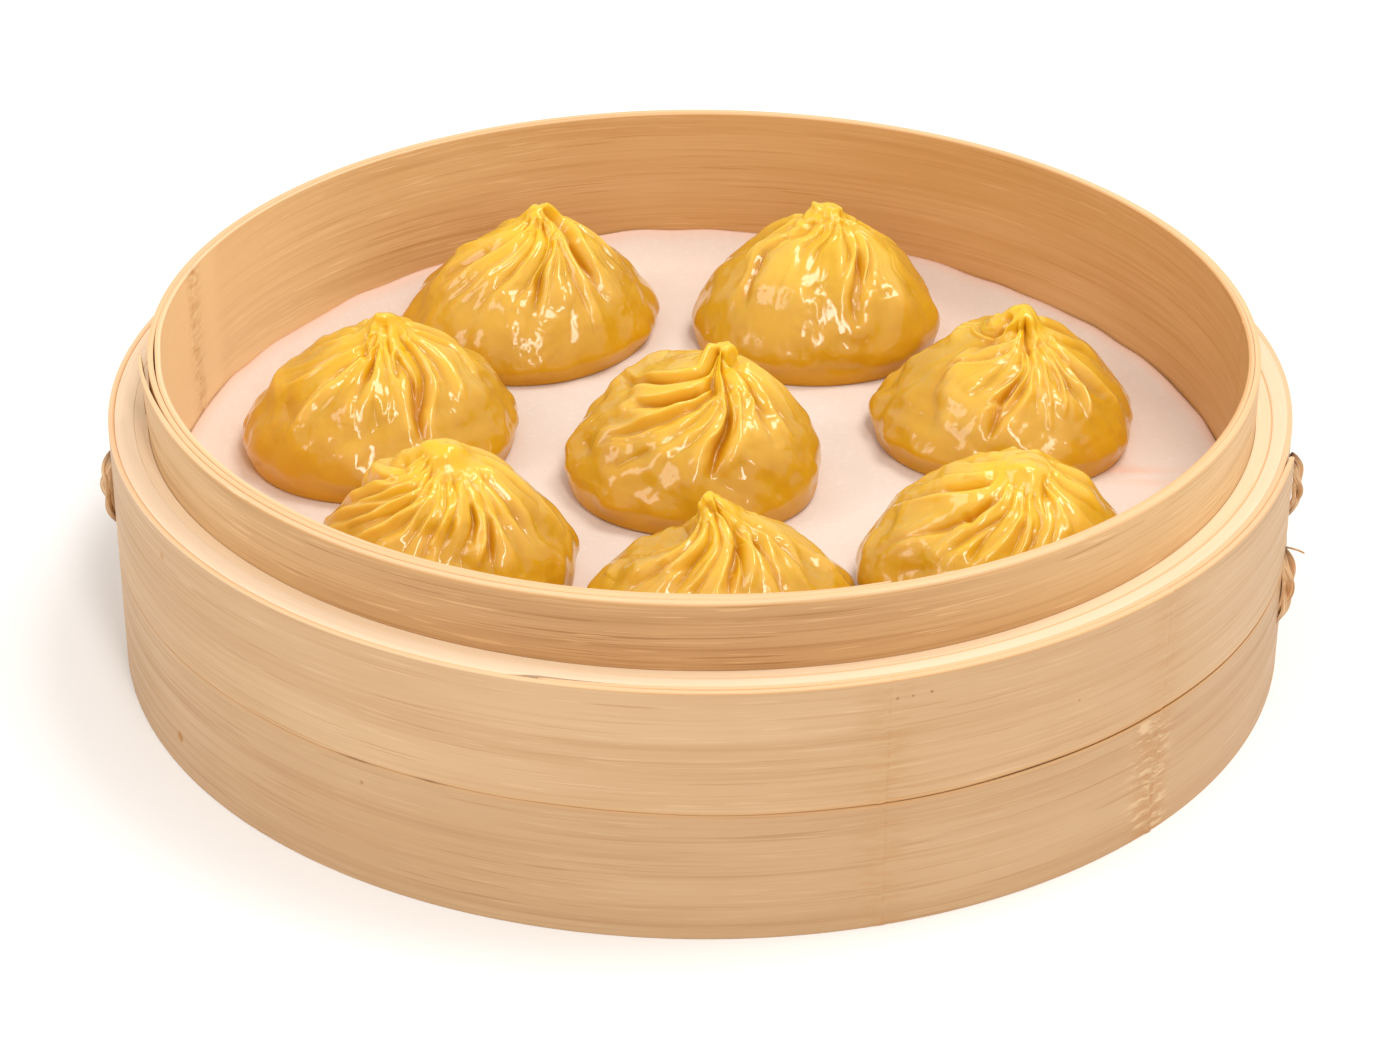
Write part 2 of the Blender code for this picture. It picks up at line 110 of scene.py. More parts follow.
def waves(points, length, count, seed):
    """The sum of `count` cosines along random directions, each about one wave in `length`,
    scaled to a root mean square of one."""
    draw = np.random.default_rng(seed)
    ways = draw.normal(size=(count, 3))
    ways /= np.linalg.norm(ways, axis=1)[:, None]
    turns = 2 * math.pi / (length * draw.uniform(0.7, 1.4, count))
    phases = draw.uniform(0, 2 * math.pi, count)
    total = np.cos(points @ (ways * turns[:, None]).T + phases).sum(axis=-1)
    return total * math.sqrt(2.0 / count)


# ---------------------------------------------------------------- meshes


def grid_quads(rows, columns, close_rows=False, close_columns=False):
    """Quads of a rows by columns grid, joined end to start where asked."""
    row = np.arange(rows if close_rows else rows - 1)[:, None]
    column = np.arange(columns if close_columns else columns - 1)[None, :]
    below = (row + 1) % rows
    beside = (column + 1) % columns
    corners = (
        row * columns + column,
        row * columns + beside,
        below * columns + beside,
        below * columns + column,
    )
    return np.stack([np.broadcast_to(c, (row.size, column.size)) for c in corners], -1).reshape(-1, 4)


def fan(loop, tip):
    """Triangles from a closed loop of points to one tip."""
    loop = np.asarray(loop)
    return np.stack([loop, np.roll(loop, -1), np.full(loop.size, tip)], -1)


def volume(points, quads, triangles):
    """Six times the signed volume that the faces enclose."""
    split = [quads[:, [0, 1, 2]], quads[:, [0, 2, 3]]] if len(quads) else []
    faces = np.vstack(split + ([triangles] if len(triangles) else []))
    a, b, c = (points[faces[:, corner]] for corner in range(3))
    return float((a * np.cross(b, c)).sum())


def build_piece(name, shells, material, node, marks=None, sharp=None):
    """One closed object from shells of (points, quads, triangles). Each shell that is
    inside out is turned round. Marks are numbers kept at the points."""
    points, quads, triangles, start = [], [], [], 0
    for shell_points, shell_quads, shell_triangles in shells:
        shell_points = np.asarray(shell_points, float).reshape(-1, 3)
        shell_quads = np.asarray(shell_quads, int).reshape(-1, 4)
        shell_triangles = np.asarray(shell_triangles, int).reshape(-1, 3)
        if volume(shell_points, shell_quads, shell_triangles) < 0:
            shell_quads = shell_quads[:, ::-1]
            shell_triangles = shell_triangles[:, ::-1]
        points.append(shell_points)
        quads.append(shell_quads + start)
        triangles.append(shell_triangles + start)
        start += len(shell_points)
    points, quads, triangles = np.vstack(points), np.vstack(quads), np.vstack(triangles)
    mesh = bpy.data.meshes.new(name)
    mesh.vertices.add(len(points))
    mesh.vertices.foreach_set("co", points.astype(np.float32).ravel())
    corners = np.concatenate([quads.ravel(), triangles.ravel()]).astype(np.int32)
    sizes = np.concatenate([np.full(len(quads), 4), np.full(len(triangles), 3)])
    starts = np.concatenate([[0], np.cumsum(sizes)[:-1]]).astype(np.int32)
    mesh.loops.add(len(corners))
    mesh.loops.foreach_set("vertex_index", corners)
    mesh.polygons.add(len(sizes))
    mesh.polygons.foreach_set("loop_start", starts)
    mesh.update(calc_edges=True)
    mesh.validate()
    for mark, values in (marks or {}).items():
        layer = mesh.attributes.new(mark, "FLOAT", "POINT")
        layer.data.foreach_set("value", np.asarray(values, np.float32).ravel())
    mesh.shade_smooth()
    if sharp is not None:
        mesh.set_sharp_from_angle(angle=math.radians(sharp))
    mesh.materials.append(material)
    piece = bpy.data.objects.new(name, mesh)
    bpy.context.scene.collection.objects.link(piece)
    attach(piece, "root")
    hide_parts(node)
    return piece


# ---------------------------------------------------------------- materials


def node(tree, kind, inputs=None, **settings):
    """Adds a shader node, sets it up, and fills or links its inputs."""
    made = tree.nodes.new(kind)
    for key, value in settings.items():
        setattr(made, key, value)
    for key, value in (inputs or {}).items():
        if isinstance(value, bpy.types.NodeSocket):
            tree.links.new(value, made.inputs[key])
        else:
            made.inputs[key].default_value = value
    return made


def calc(tree, operation, first, second=0.0, clamp=False):
    """One arithmetic step."""
    made = node(tree, "ShaderNodeMath", {0: first, 1: second}, operation=operation, use_clamp=clamp)
    return made.outputs[0]


def band(tree, value, low, high, to_low=0.0, to_high=1.0):
    """Maps low..high smoothly to to_low..to_high, held at both ends."""
    inputs = {"Value": value, 1: low, 2: high, 3: to_low, 4: to_high}
    made = node(tree, "ShaderNodeMapRange", inputs, interpolation_type="SMOOTHSTEP")
    return made.outputs[0]


def noise(tree, place, scale, detail=2.0, rough=0.5, warp=0.0):
    """Cloud noise at a place."""
    inputs = {"Vector": place, "Scale": scale, "Detail": detail, "Roughness": rough, "Distortion": warp}
    return node(tree, "ShaderNodeTexNoise", inputs).outputs[0]


def blend_colour(tree, share, first, second, way="MIX"):
    """Mixes two colours, each a socket or a tuple."""
    made = node(tree, "ShaderNodeMix", data_type="RGBA", blend_type=way)
    for index, value in ((0, share), (6, first), (7, second)):
        if isinstance(value, bpy.types.NodeSocket):
            tree.links.new(value, made.inputs[index])
        else:
            made.inputs[index].default_value = value if index == 0 else (*value[:3], 1.0)
    return made.outputs[2]


def mark(tree, name):
    """The number kept at the points under a name."""
    return node(tree, "ShaderNodeAttribute", attribute_name=name).outputs["Fac"]


def new_material(name):
    """An empty node material with its shader."""
    material = bpy.data.materials.new(name)
    material.use_nodes = True
    tree = material.node_tree
    return material, tree, tree.nodes["Principled BSDF"]


def linear(colour):
    """Display colour, 0 to 255, to the linear numbers that shaders take."""
    shown = np.asarray(colour, float) / 255.0
    return tuple(np.where(shown <= 0.04045, shown / 12.92, ((shown + 0.055) / 1.055) ** 2.4))


def round_grain(tree, shift):
    """Coordinates whose third part is height plus distance from the axis, so that fibres
    run round the basket on the walls and on the edges alike."""
    place = node(tree, "ShaderNodeTexCoord").outputs["Object"]
    apart = node(tree, "ShaderNodeSeparateXYZ", {0: place})
    flat = node(tree, "ShaderNodeCombineXYZ", {0: apart.outputs[0], 1: apart.outputs[1]})
    reach = node(tree, "ShaderNodeVectorMath", {0: flat.outputs[0]}, operation="LENGTH").outputs["Value"]
    level = calc(tree, "ADD", calc(tree, "ADD", apart.outputs[2], reach), shift)
    return node(tree, "ShaderNodeCombineXYZ", {0: apart.outputs[0], 1: apart.outputs[1], 2: level}).outputs[0]


def straight_grain(tree, shift, along):
    """Coordinates with the fibres' direction first: X for slats, Y for bars."""
    place = node(tree, "ShaderNodeTexCoord").outputs["Object"]
    apart = node(tree, "ShaderNodeSeparateXYZ", {0: place})
    across = calc(tree, "ADD", calc(tree, "ADD", apart.outputs[1 - along], apart.outputs[2]), shift)
    return node(tree, "ShaderNodeCombineXYZ", {0: apart.outputs[along], 1: 0.0, 2: across}).outputs[0]


def stretched(tree, place, along, across):
    """Scales coordinates along the fibres and across them."""
    inputs = {"Vector": place, "Scale": (along, along, across)}
    return node(tree, "ShaderNodeMapping", inputs, vector_type="POINT").outputs[0]


def spot(tree, place, centre, radius):
    """1 at a point of the wall, falling to 0 at a radius in metres."""
    away = node(tree, "ShaderNodeVectorMath", {0: place, 1: centre}, operation="DISTANCE").outputs["Value"]
    return band(tree, away, radius * 0.5, radius, 1.0, 0.0)


def bamboo_material(name, base, dark, light, shift, contrast=1.0, roughness=0.5, direction=None, scratch=0.3, knots=(), rugged=3.5):
    """Split bamboo: long fine fibres, slow bands and blotches, dark hairlines, thin pale
    scratches, orange edges, painted shade in gaps and crevices, painted light and shade on the
    coil's lit and shaded faces, streaked node scars and a few knots."""
    material, tree, shader = new_material(name)
    base, dark, light = linear(base), linear(dark), linear(light)
    place = round_grain(tree, shift) if direction is None else straight_grain(tree, shift, direction)
    blotch = noise(tree, stretched(tree, place, 14.0, 60.0), 1.0, 3.0, 0.55)
    broad = noise(tree, stretched(tree, place, 5.0, 300.0), 1.0, 3.0, 0.6)
    fibre = noise(tree, stretched(tree, place, 13.0, 1150.0), 1.0, 4.0, 0.62)
    fine = noise(tree, stretched(tree, place, 28.0, 3400.0), 1.0, 2.0, 0.6)
    hair = noise(tree, stretched(tree, place, 34.0, 2300.0), 1.0, 1.0, 0.5)
    dash = noise(tree, stretched(tree, place, 70.0, 1900.0), 1.0, 1.0, 0.5)
    # Painted shade on the coil's front face: base, light and dark colours turn browner there.
    colour = blend_colour(tree, mark(tree, "front_shade"), base, linear((190, 144, 96)))
    light = blend_colour(tree, mark(tree, "front_shade"), light, linear((216, 170, 116)))
    dark = blend_colour(tree, mark(tree, "front_shade"), dark, linear((158, 108, 60)))
    colour = blend_colour(tree, band(tree, blotch, 0.35, 0.75, 0.0, 0.45 * contrast), colour, light)
    colour = blend_colour(tree, band(tree, broad, 0.45, 0.78, 0.0, 0.42 * contrast), colour, dark)
    colour = blend_colour(tree, band(tree, fibre, 0.50, 0.75, 0.0, 0.50 * contrast), colour, dark)
    colour = blend_colour(tree, band(tree, fine, 0.50, 0.80, 0.0, 0.40 * contrast), colour, light)
    colour = blend_colour(tree, band(tree, hair, 0.66, 0.74, 0.0, 0.55 * contrast), colour, dark)
    colour = blend_colour(tree, band(tree, dash, 0.64, 0.72, 0.0, scratch), colour, light)
    # Painted light: the pale mark lightens the coil's inner face on the left, which faces the key light.
    colour = blend_colour(tree, mark(tree, "pale"), colour, light)
    streak = noise(tree, stretched(tree, place, 170.0, 900.0), 1.0, 3.0, 0.6)
    scar = mark(tree, "scar")
    colour = blend_colour(
        tree, calc(tree, "MULTIPLY", scar, band(tree, streak, 0.40, 0.62, 0.15, 1.0)), colour, linear((186, 124, 58))
    )
    wedge = calc(tree, "MULTIPLY", mark(tree, "wedge"), band(tree, streak, 0.50, 0.40, 0.0, 1.0))
    colour = blend_colour(tree, wedge, colour, linear((246, 216, 170)))
    colour = blend_colour(tree, mark(tree, "edge"), colour, linear((243, 204, 162)))
    # Painted shade on the coil's inner face, darkest on the right and back, which face away from the key light.
    colour = blend_colour(tree, mark(tree, "inner_shade"), colour, linear((202, 142, 70)))
    colour = blend_colour(tree, mark(tree, "tint"), colour, linear((226, 164, 92)))
    whole = node(tree, "ShaderNodeTexCoord").outputs["Object"]
    for centre, radius, strength, tone in knots:
        share = calc(tree, "MULTIPLY", spot(tree, whole, centre, radius), strength)
        colour = blend_colour(tree, share, colour, linear(tone))
    # Painted shade in gaps and crevices: in the seam between the skins, behind the coil's outer end and at its start.
    colour = blend_colour(tree, mark(tree, "shade"), colour, linear((92, 52, 20)))
    tree.links.new(colour, shader.inputs["Base Color"])
    rough = band(tree, fibre, 0.3, 0.7, roughness - 0.06, roughness + 0.12)
    tree.links.new(rough, shader.inputs["Roughness"])
    rough_zone = calc(tree, "MAXIMUM", scar, mark(tree, "wedge"))
    bumps = calc(tree, "MULTIPLY", rough_zone, noise(tree, whole, 620.0, 3.0, 0.6))
    height = calc(tree, "ADD", fibre, calc(tree, "MULTIPLY", fine, 0.6))
    height = calc(tree, "ADD", height, calc(tree, "MULTIPLY", bumps, rugged))
    bump = node(tree, "ShaderNodeBump", {"Strength": 0.35, "Distance": 0.00012, "Height": height})
    tree.links.new(bump.outputs[0], shader.inputs["Normal"])
    shader.inputs["Specular IOR Level"].default_value = 0.35
    return material


def cane_material():
    """Twisted cane: brown fibres along each strand with pale rubbed ridges, and painted shade near its holes."""
    material, tree, shader = new_material("cane")
    place = node(tree, "ShaderNodeUVMap", uv_map="strand").outputs[0]
    fibre = noise(tree, stretched(tree, place, 300.0, 1.0), 1.0, 3.0, 0.6)
    shape = node(tree, "ShaderNodeMapping", {"Vector": place, "Scale": (160.0, 3200.0, 1.0)})
    line = noise(tree, shape.outputs[0], 1.0, 3.0, 0.6)
    colour = blend_colour(tree, band(tree, line, 0.35, 0.7), linear((196, 146, 96)), linear((236, 202, 158)))
    colour = blend_colour(tree, band(tree, fibre, 0.5, 0.75, 0.0, 0.5), colour, linear((166, 112, 66)))
    # Painted shade where a strand goes into its holes.
    colour = blend_colour(tree, mark(tree, "shade"), colour, linear((80, 44, 18)))
    tree.links.new(colour, shader.inputs["Base Color"])
    tree.links.new(band(tree, line, 0.3, 0.7, 0.42, 0.62), shader.inputs["Roughness"])
    bump = node(tree, "ShaderNodeBump", {"Strength": 0.6, "Distance": 0.0002, "Height": line})
    tree.links.new(bump.outputs[0], shader.inputs["Normal"])
    return material


def paper_material(settings):
    """Soft absorbent paper: faint fibres, slight cockling, a few damp stains and a painted orange glow of the wall near
    its edge.
    """
    material, tree, shader = new_material("white_paper")
    place = node(tree, "ShaderNodeTexCoord").outputs["Object"]
    cloud = noise(tree, place, 26.0, 3.0, 0.55)
    fibre = noise(tree, place, 900.0, 4.0, 0.7, 0.6)
    fleck = noise(tree, place, 330.0, 3.0, 0.6, 1.5)
    tone = tuple(settings.paper_colour)
    colour = blend_colour(tree, band(tree, cloud, 0.35, 0.7, 0.0, 0.5), tone, linear((236, 222, 212)))
    colour = blend_colour(tree, band(tree, fleck, 0.55, 0.75, 0.0, 0.35), colour, linear((232, 214, 202)))
    colour = blend_colour(tree, band(tree, fibre, 0.5, 0.75, 0.0, 0.2), colour, linear((255, 252, 250)))
    # Real damp stains, and near the wall a painted orange glow of the wall through the thin paper.
    colour = blend_colour(tree, mark(tree, "damp_and_wall_glow"), colour, linear((240, 176, 140)))
    tree.links.new(colour, shader.inputs["Base Color"])
    tree.links.new(band(tree, fibre, 0.3, 0.7, 0.72, 0.88), shader.inputs["Roughness"])
    height = calc(tree, "ADD", calc(tree, "MULTIPLY", fibre, 0.5), fleck)
    bump = node(tree, "ShaderNodeBump", {"Strength": 0.25, "Distance": 0.0002, "Height": height})
    tree.links.new(bump.outputs[0], shader.inputs["Normal"])
    shader.inputs["Specular IOR Level"].default_value = 0.2
    return material


def dough_material(name, shift, settings):
    """Steamed dough, thin and wet: painted light makes it paler on the ridges, painted shade
    makes it deeper and more orange in the folds, and it is darker low down where the filling
    shows through. The wet coat is smooth with patches of fine crackle."""
    material, tree, shader = new_material(name)
    place = node(tree, "ShaderNodeTexCoord").outputs["Object"]
    moved = node(tree, "ShaderNodeMapping", {"Vector": place, "Location": (shift, shift, 0.0)}).outputs[0]
    cloud = noise(tree, moved, 85.0, 3.0, 0.5)
    patch = noise(tree, moved, 190.0, 3.0, 0.55)
    speck = noise(tree, moved, 1500.0, 2.0, 0.6)
    rise = mark(tree, "rise")
    fold = mark(tree, "fold")
    level = calc(tree, "ADD", rise, calc(tree, "MULTIPLY", calc(tree, "SUBTRACT", cloud, 0.5), 0.5))
    colour = blend_colour(
        tree, band(tree, level, -0.05, 0.45), tuple(settings.dough_low), tuple(settings.dough_middle)
    )
    colour = blend_colour(tree, band(tree, level, 0.5, 0.95), colour, tuple(settings.dough_top))
    filling = band(tree, patch, 0.50, 0.72, 0.0, 0.4)
    filling = calc(tree, "MULTIPLY", filling, band(tree, rise, 0.75, 0.35))
    colour = blend_colour(tree, filling, colour, tuple(settings.dough_filling))
    # Painted shade in the folds: darker, more orange dough where the valleys cut in.
    colour = blend_colour(tree, calc(tree, "MULTIPLY", fold, 0.6), colour, tuple(settings.dough_fold_shade))
    # Painted light on the ridges: paler dough where lips, wrinkles and strokes stand out.
    colour = blend_colour(tree, mark(tree, "painted_ridge_light"), colour, linear((252, 208, 94)))
    tree.links.new(colour, shader.inputs["Base Color"])
    tree.links.new(band(tree, patch, 0.3, 0.7, 0.34, 0.5), shader.inputs["Roughness"])
    bump = node(tree, "ShaderNodeBump", {"Strength": 0.2, "Distance": 0.0004, "Height": patch})
    tree.links.new(bump.outputs[0], shader.inputs["Normal"])
    shader.inputs["Specular IOR Level"].default_value = 0.25
    shader.inputs["Subsurface Weight"].default_value = 0.4
    shader.inputs["Subsurface Radius"].default_value = (1.0, 0.45, 0.1)
    shader.inputs["Subsurface Scale"].default_value = 0.0035
    tree.links.new(band(tree, rise, 0.02, 0.22, 0.1, 0.9), shader.inputs["Coat Weight"])
    shader.inputs["Coat Roughness"].default_value = 0.03
    shader.inputs["Coat IOR"].default_value = 1.58
    crackle = calc(tree, "MULTIPLY", speck, band(tree, cloud, 0.42, 0.6, 0.05, 0.40))
    ripple = calc(tree, "ADD", calc(tree, "MULTIPLY", patch, 0.8), crackle)
    wet = node(tree, "ShaderNodeBump", {"Strength": 0.28, "Distance": 0.0004, "Height": ripple})
    cells = node(tree, "ShaderNodeTexVoronoi", {"Vector": moved, "Scale": 330.0, "Randomness": 1.0})
    tilt = node(
        tree, "ShaderNodeVectorMath", {0: cells.outputs["Color"], 1: (0.5, 0.5, 0.5)}, operation="SUBTRACT"
    )
    lean = node(tree, "ShaderNodeVectorMath", {0: tilt.outputs[0], "Scale": 0.05}, operation="SCALE")
    facet = node(tree, "ShaderNodeVectorMath", {0: wet.outputs[0], 1: lean.outputs[0]}, operation="ADD")
    facet = node(tree, "ShaderNodeVectorMath", {0: facet.outputs[0]}, operation="NORMALIZE")
    tree.links.new(facet.outputs[0], shader.inputs["Coat Normal"])
    return material


def floor_material(settings):
    """Plain matt pale floor."""
    material, tree, shader = new_material("studio_floor")
    place = node(tree, "ShaderNodeTexCoord").outputs["Object"]
    cloud = noise(tree, place, 3.0, 2.0, 0.5)
    tone = tuple(settings.floor_colour)
    paler = tuple(min(1.0, part * 1.03) for part in tone)
    tree.links.new(blend_colour(tree, band(tree, cloud, 0.3, 0.7), tone, paler), shader.inputs["Base Color"])
    shader.inputs["Roughness"].default_value = 0.9
    shader.inputs["Specular IOR Level"].default_value = 0.1
    return material


# ---------------------------------------------------------------- wall strips

# Points round a strip's section: share of the thickness (0 inside, 1 outside), corner
# turns radially, share of the height, corner turns upwards, and millimetres upwards.
EDGE_LEVELS = (0.12, 0.3, 0.6, 1.0, 1.6, 2.6, 4.0)
FACE_SHARES = (0.25, 0.38, 0.5, 0.62, 0.75)


def strip_section():
    """The rounded rectangle, once round: outer face up, top, inner face down, bottom."""
    quarter = np.radians((22.5, 45.0, 67.5))
    sine, cosine = np.sin(quarter), np.cos(quarter)
    rows = [(1, 0, 0, 1, 0)]
    rows += [(1, 0, 0, 1, level) for level in EDGE_LEVELS]
    rows += [(1, 0, share, 0, 0) for share in FACE_SHARES]
    rows += [(1, 0, 1, -1, -level) for level in EDGE_LEVELS[::-1]]
    rows += [(1, 0, 1, -1, 0)]
    rows += [(1, c - 1, 1, s - 1, 0) for s, c in zip(sine, cosine)]
    rows += [(share, 1 - 2 * share, 1, 0, 0) for share in (1, 0.88, 0.67, 0.33, 0.12, 0)]
    rows += [(0, 1 - s, 1, c - 1, 0) for s, c in zip(sine, cosine)]
    rows += [(0, 0, 1, -1, 0)]
    rows += [(0, 0, 1, -1, -level) for level in EDGE_LEVELS]
    rows += [(0, 0, share, 0, 0) for share in FACE_SHARES[::-1]]
    rows += [(0, 0, 0, 1, level) for level in EDGE_LEVELS[::-1]]
    rows += [(0, 0, 0, 1, 0)]
    rows += [(0, 1 - c, 0, 1 - s, 0) for s, c in zip(sine, cosine)]
    rows += [(0, 1, 0, 0, 0), (0.33, 0.34, 0, 0, 0), (0.67, -0.34, 0, 0, 0), (1, -1, 0, 0, 0)]
    rows += [(1, s - 1, 0, 1 - c, 0) for s, c in zip(sine, cosine)]
    return np.array(rows, float).T


def out_of_round(azimuth):
    """How far the bent wall strays from a true circle, in millimetres, alike in all strips."""
    return 0.14 * np.cos(np.radians(2 * azimuth - 40)) + 0.08 * np.cos(np.radians(3 * azimuth + 50))


def strip_stations(start, end, places=()):
    """Azimuths from start to end, a degree apart and closer near the places."""
    base = np.linspace(start, end, int(abs(end - start) / WALL_STEP) + 1)
    low, high = min(start, end), max(start, end)
    extra = [base]
    for place, reach, step in places:
        for lap in range(-3, 4):
            near = np.arange(-reach, reach + step / 2, step) + place + 360.0 * lap
            extra.append(near[(near > low) & (near < high)])
    stations = np.unique(np.round(np.concatenate(extra), 4))
    return stations if end > start else stations[::-1]


def bent_strip(azimuth, inner, outer, bottom, top, corner, closed, centre=(0, 0), relief=None, marks=None):
    """A strip standing on edge and bent round the centre. Its section is a rounded
    rectangle between two radii and two levels, all in millimetres, given at each azimuth.
    Relief adds to the radius, and marks are worked out, at (azimuth, level, outside)."""
    side, turn_out, share, turn_up, lift = strip_section()
    columns = [np.broadcast_to(v, azimuth.shape)[:, None] for v in (inner, outer, bottom, top)]
    inner, outer, bottom, top = columns
    bend = np.minimum(corner, 0.45 * (outer - inner))
    radius = inner + side * (outer - inner) + turn_out * bend
    level = bottom + share * (top - bottom) + turn_up * bend + lift
    around = azimuth[:, None] + 0 * radius
    outside = side + 0 * radius
    if relief is not None:
        radius = radius + relief(around, level, outside)
    radius = radius + out_of_round(around)
    angle = np.radians(around)
    x = centre[0] + radius * np.cos(angle)
    y = centre[1] + radius * np.sin(angle)
    points = np.stack([x, y, level], -1) * MM
    rows, count = radius.shape
    quads = grid_quads(rows, count, close_rows=closed, close_columns=True)
    triangles = np.zeros((0, 3), int)
    flat = points.reshape(-1, 3)
    found = {key: value(around, level, outside) for key, value in (marks or {}).items()}
    values = {key: value.ravel() for key, value in found.items()}
    if not closed:
        first, last = points[0].mean(axis=0), points[-1].mean(axis=0)
        flat = np.vstack([flat, first, last])
        loop = np.arange(count)
        triangles = np.vstack([fan(loop[::-1], rows * count), fan((rows - 1) * count + loop, rows * count + 1)])
        values = {key: np.append(value, (value[0], value[-1])) for key, value in values.items()}
    return (flat, quads, triangles), values


def coil_outside(azimuth):
    """Radius of the coil's outermost face from the basket's middle, in millimetres. It
    grows by the pitch each turn, and drops by a strip just past the outer end."""
    gone = (COIL_START - azimuth) % 360.0
    last = np.where(gone + 720.0 <= COIL_SWEEP, gone + 720.0, gone + 360.0)
    outside = COIL_INSIDE + COIL_PITCH * last / 360.0 + COIL_STRIP
    past = gone - (COIL_SWEEP - 720.0)
    thinned = (COIL_STRIP - COIL_TIP) * (1 - ramp(-np.minimum(past, 0.0), -6.0, 20.0))
    outside = outside + np.where(past > 0, (COIL_PITCH - thinned) * (1 - ramp(past, 0.0, 22.0)), -thinned)
    angle = np.radians(azimuth)
    return outside + COIL_CENTRE[0] * np.cos(angle) + COIL_CENTRE[1] * np.sin(angle)


def make_hoops(settings):
    """Two thick hoops: the inner one straight, the outer one thinner where the skins
    are doubled over it. The gap between them is 0.02 mm, tinted orange along the top from the front round to the right."""
    azimuth = strip_stations(-180.0, 180.0 - WALL_STEP)
    top = HOOP_HEIGHT / MM + 0.08 * np.cos(np.radians(3 * azimuth + 20)) - 0.1
    line = ramp(turn_away(azimuth, -105.0), 0.0, 25.0) * (1 - ramp(turn_away(azimuth, 0.0), 60.0, 120.0))
    column = line[:, None]

    def inner_tint(around, level, outside):
        return 0.65 * column * bell(level, HOOP_HEIGHT / MM - 0.1, 0.4) * (outside > 0.9)

    def outer_tint(around, level, outside):
        return 0.35 * column * bell(level, HOOP_HEIGHT / MM - 0.1, 0.3) * (outside < 0.1)

    inside = coil_outside(azimuth) + 0.06
    bamboo = bamboo_material("bamboo_inner_hoop", (240, 212, 176), (220, 184, 140), (250, 228, 198), 0.11, 0.6)
    shell, marks = bent_strip(
        azimuth, inside, HOOP_SPLIT - 0.02, 0.0, top, 0.07, True, marks={"tint": inner_tint}
    )
    build_piece("bent_inner_hoop", [shell], bamboo, "inner_hoop", marks)
    outside = skin_faces(azimuth)[2] - 0.02
    bamboo = bamboo_material("bamboo_outer_hoop", (242, 216, 184), (224, 190, 150), (252, 233, 210), 0.37, 0.6)
    shell, marks = bent_strip(
        azimuth, HOOP_SPLIT, outside, 0.0, top + 0.03, 0.07, True, marks={"tint": outer_tint}
    )
    build_piece("bent_outer_hoop", [shell], bamboo, "outer_hoop", marks)


def skin_faces(azimuth):
    """Radii of the upper skin at an azimuth: the outer face of its outer layer, the outer
    face of the layer lapped under it, and its innermost face."""
    behind = turn_away(azimuth, SKIN_END)
    dive = 1 - ramp(behind, 0.0, 26.0)
    covered = np.where(behind <= 0, 1.0, dive)
    doubled = covered * ramp(turn_away(azimuth, SKIN_UNDER_END), -3.0, 0.0)
    doubled = np.where(behind > 26.0, 0.0, doubled)
    doubled = np.where((behind < 0) & (behind < turn_away(SKIN_UNDER_END, SKIN_END) - 3), 0.0, doubled)
    under = OUTER - 1.08 * doubled
    return OUTER + 0 * azimuth, under, under - SKIN


def seam_level(azimuth):
    """Height of the seam between the two skins, in millimetres, slightly wavy."""
    wave = 0.35 * np.cos(np.radians(azimuth + 40)) + 0.22 * np.cos(np.radians(3 * azimuth + 10))
    wave = wave + 0.12 * np.cos(np.radians(7 * azimuth)) + 0.06 * np.cos(np.radians(19 * azimuth + 70))
    return SEAM_HEIGHT / MM + 0.2 + wave


def scar_relief(around, level, outside):
    """Node scars: a low ragged ridge and a furrow beside it, up and down the skin."""
    total = 0 * around
    for place, height, low, high in ((-44.7, 0.22, -5, 24), (-44.0, 0.10, 24, 60), (-73.9, 0.10, -5, 60)):
        ragged = place + 0.35 * np.cos(level * 1.7) + 0.2 * np.cos(level * 4.1 + 1)
        away = turn_away(around, ragged)
        inside = (level >= low) & (level < high)
        total = total + height * inside * (bell(away, -0.35, 0.35) - 0.8 * bell(away, 0.2, 0.16))
    return total * (outside > 0.5)


def scar_mark(around, level, outside):
    """Where a node scar darkens the skin, strongest beside the ridge."""
    total = 0 * around
    for place, strength, low, high in ((-44.7, 0.8, -5, 24), (-44.0, 0.35, 24, 60), (-73.9, 0.4, -5, 60)):
        away = turn_away(around, place)
        inside = (level >= low) & (level < high)
        side = np.where(away > 0, bell(away, 0.6, 1.6), bell(away, -0.8, 1.8))
        total = total + strength * inside * np.maximum(side * 0.55, bell(away, 0.1, 0.25))
    return np.clip(total, 0, 1) * (outside > 0.5)


def wedge_mark(around, level, outside):
    """Where pale lens-shaped splinters lie beside the scar of the lower skin."""
    away = turn_away(around, -44.7)
    beside = np.where(away > 0, bell(away, 1.0, 1.2), bell(away, -1.8, 1.6))
    return 0.4 * beside * (level < 24) * (outside > 0.5)


def wall_knots(rows):
    """Knots given by azimuth, height and radius in millimetres, strength and colour, as
    points of the outer wall."""
    made = []
    for azimuth, level, radius, strength, tone in rows:
        angle = math.radians(azimuth)
        centre = (OUTER * MM * math.cos(angle), OUTER * MM * math.sin(angle), level * MM)
        made.append((centre, radius * MM, strength, tone))
    return made


LOWER_KNOTS = ((-147.1, 7.1, 1.3, 0.8, (178, 118, 34)), (-121.0, 20.5, 0.5, 0.5, (150, 100, 50)))
UPPER_KNOTS = (
    (-148.1, 43.1, 0.9, 0.6, (186, 126, 60)),
    (-73.2, 44.5, 0.45, 0.7, (140, 90, 44)),
    (-71.8, 44.6, 0.4, 0.7, (140, 90, 44)),
    (-70.1, 44.8, 0.45, 0.7, (140, 90, 44)),
    (-55.0, 35.0, 0.4, 0.5, (160, 110, 60)),
)


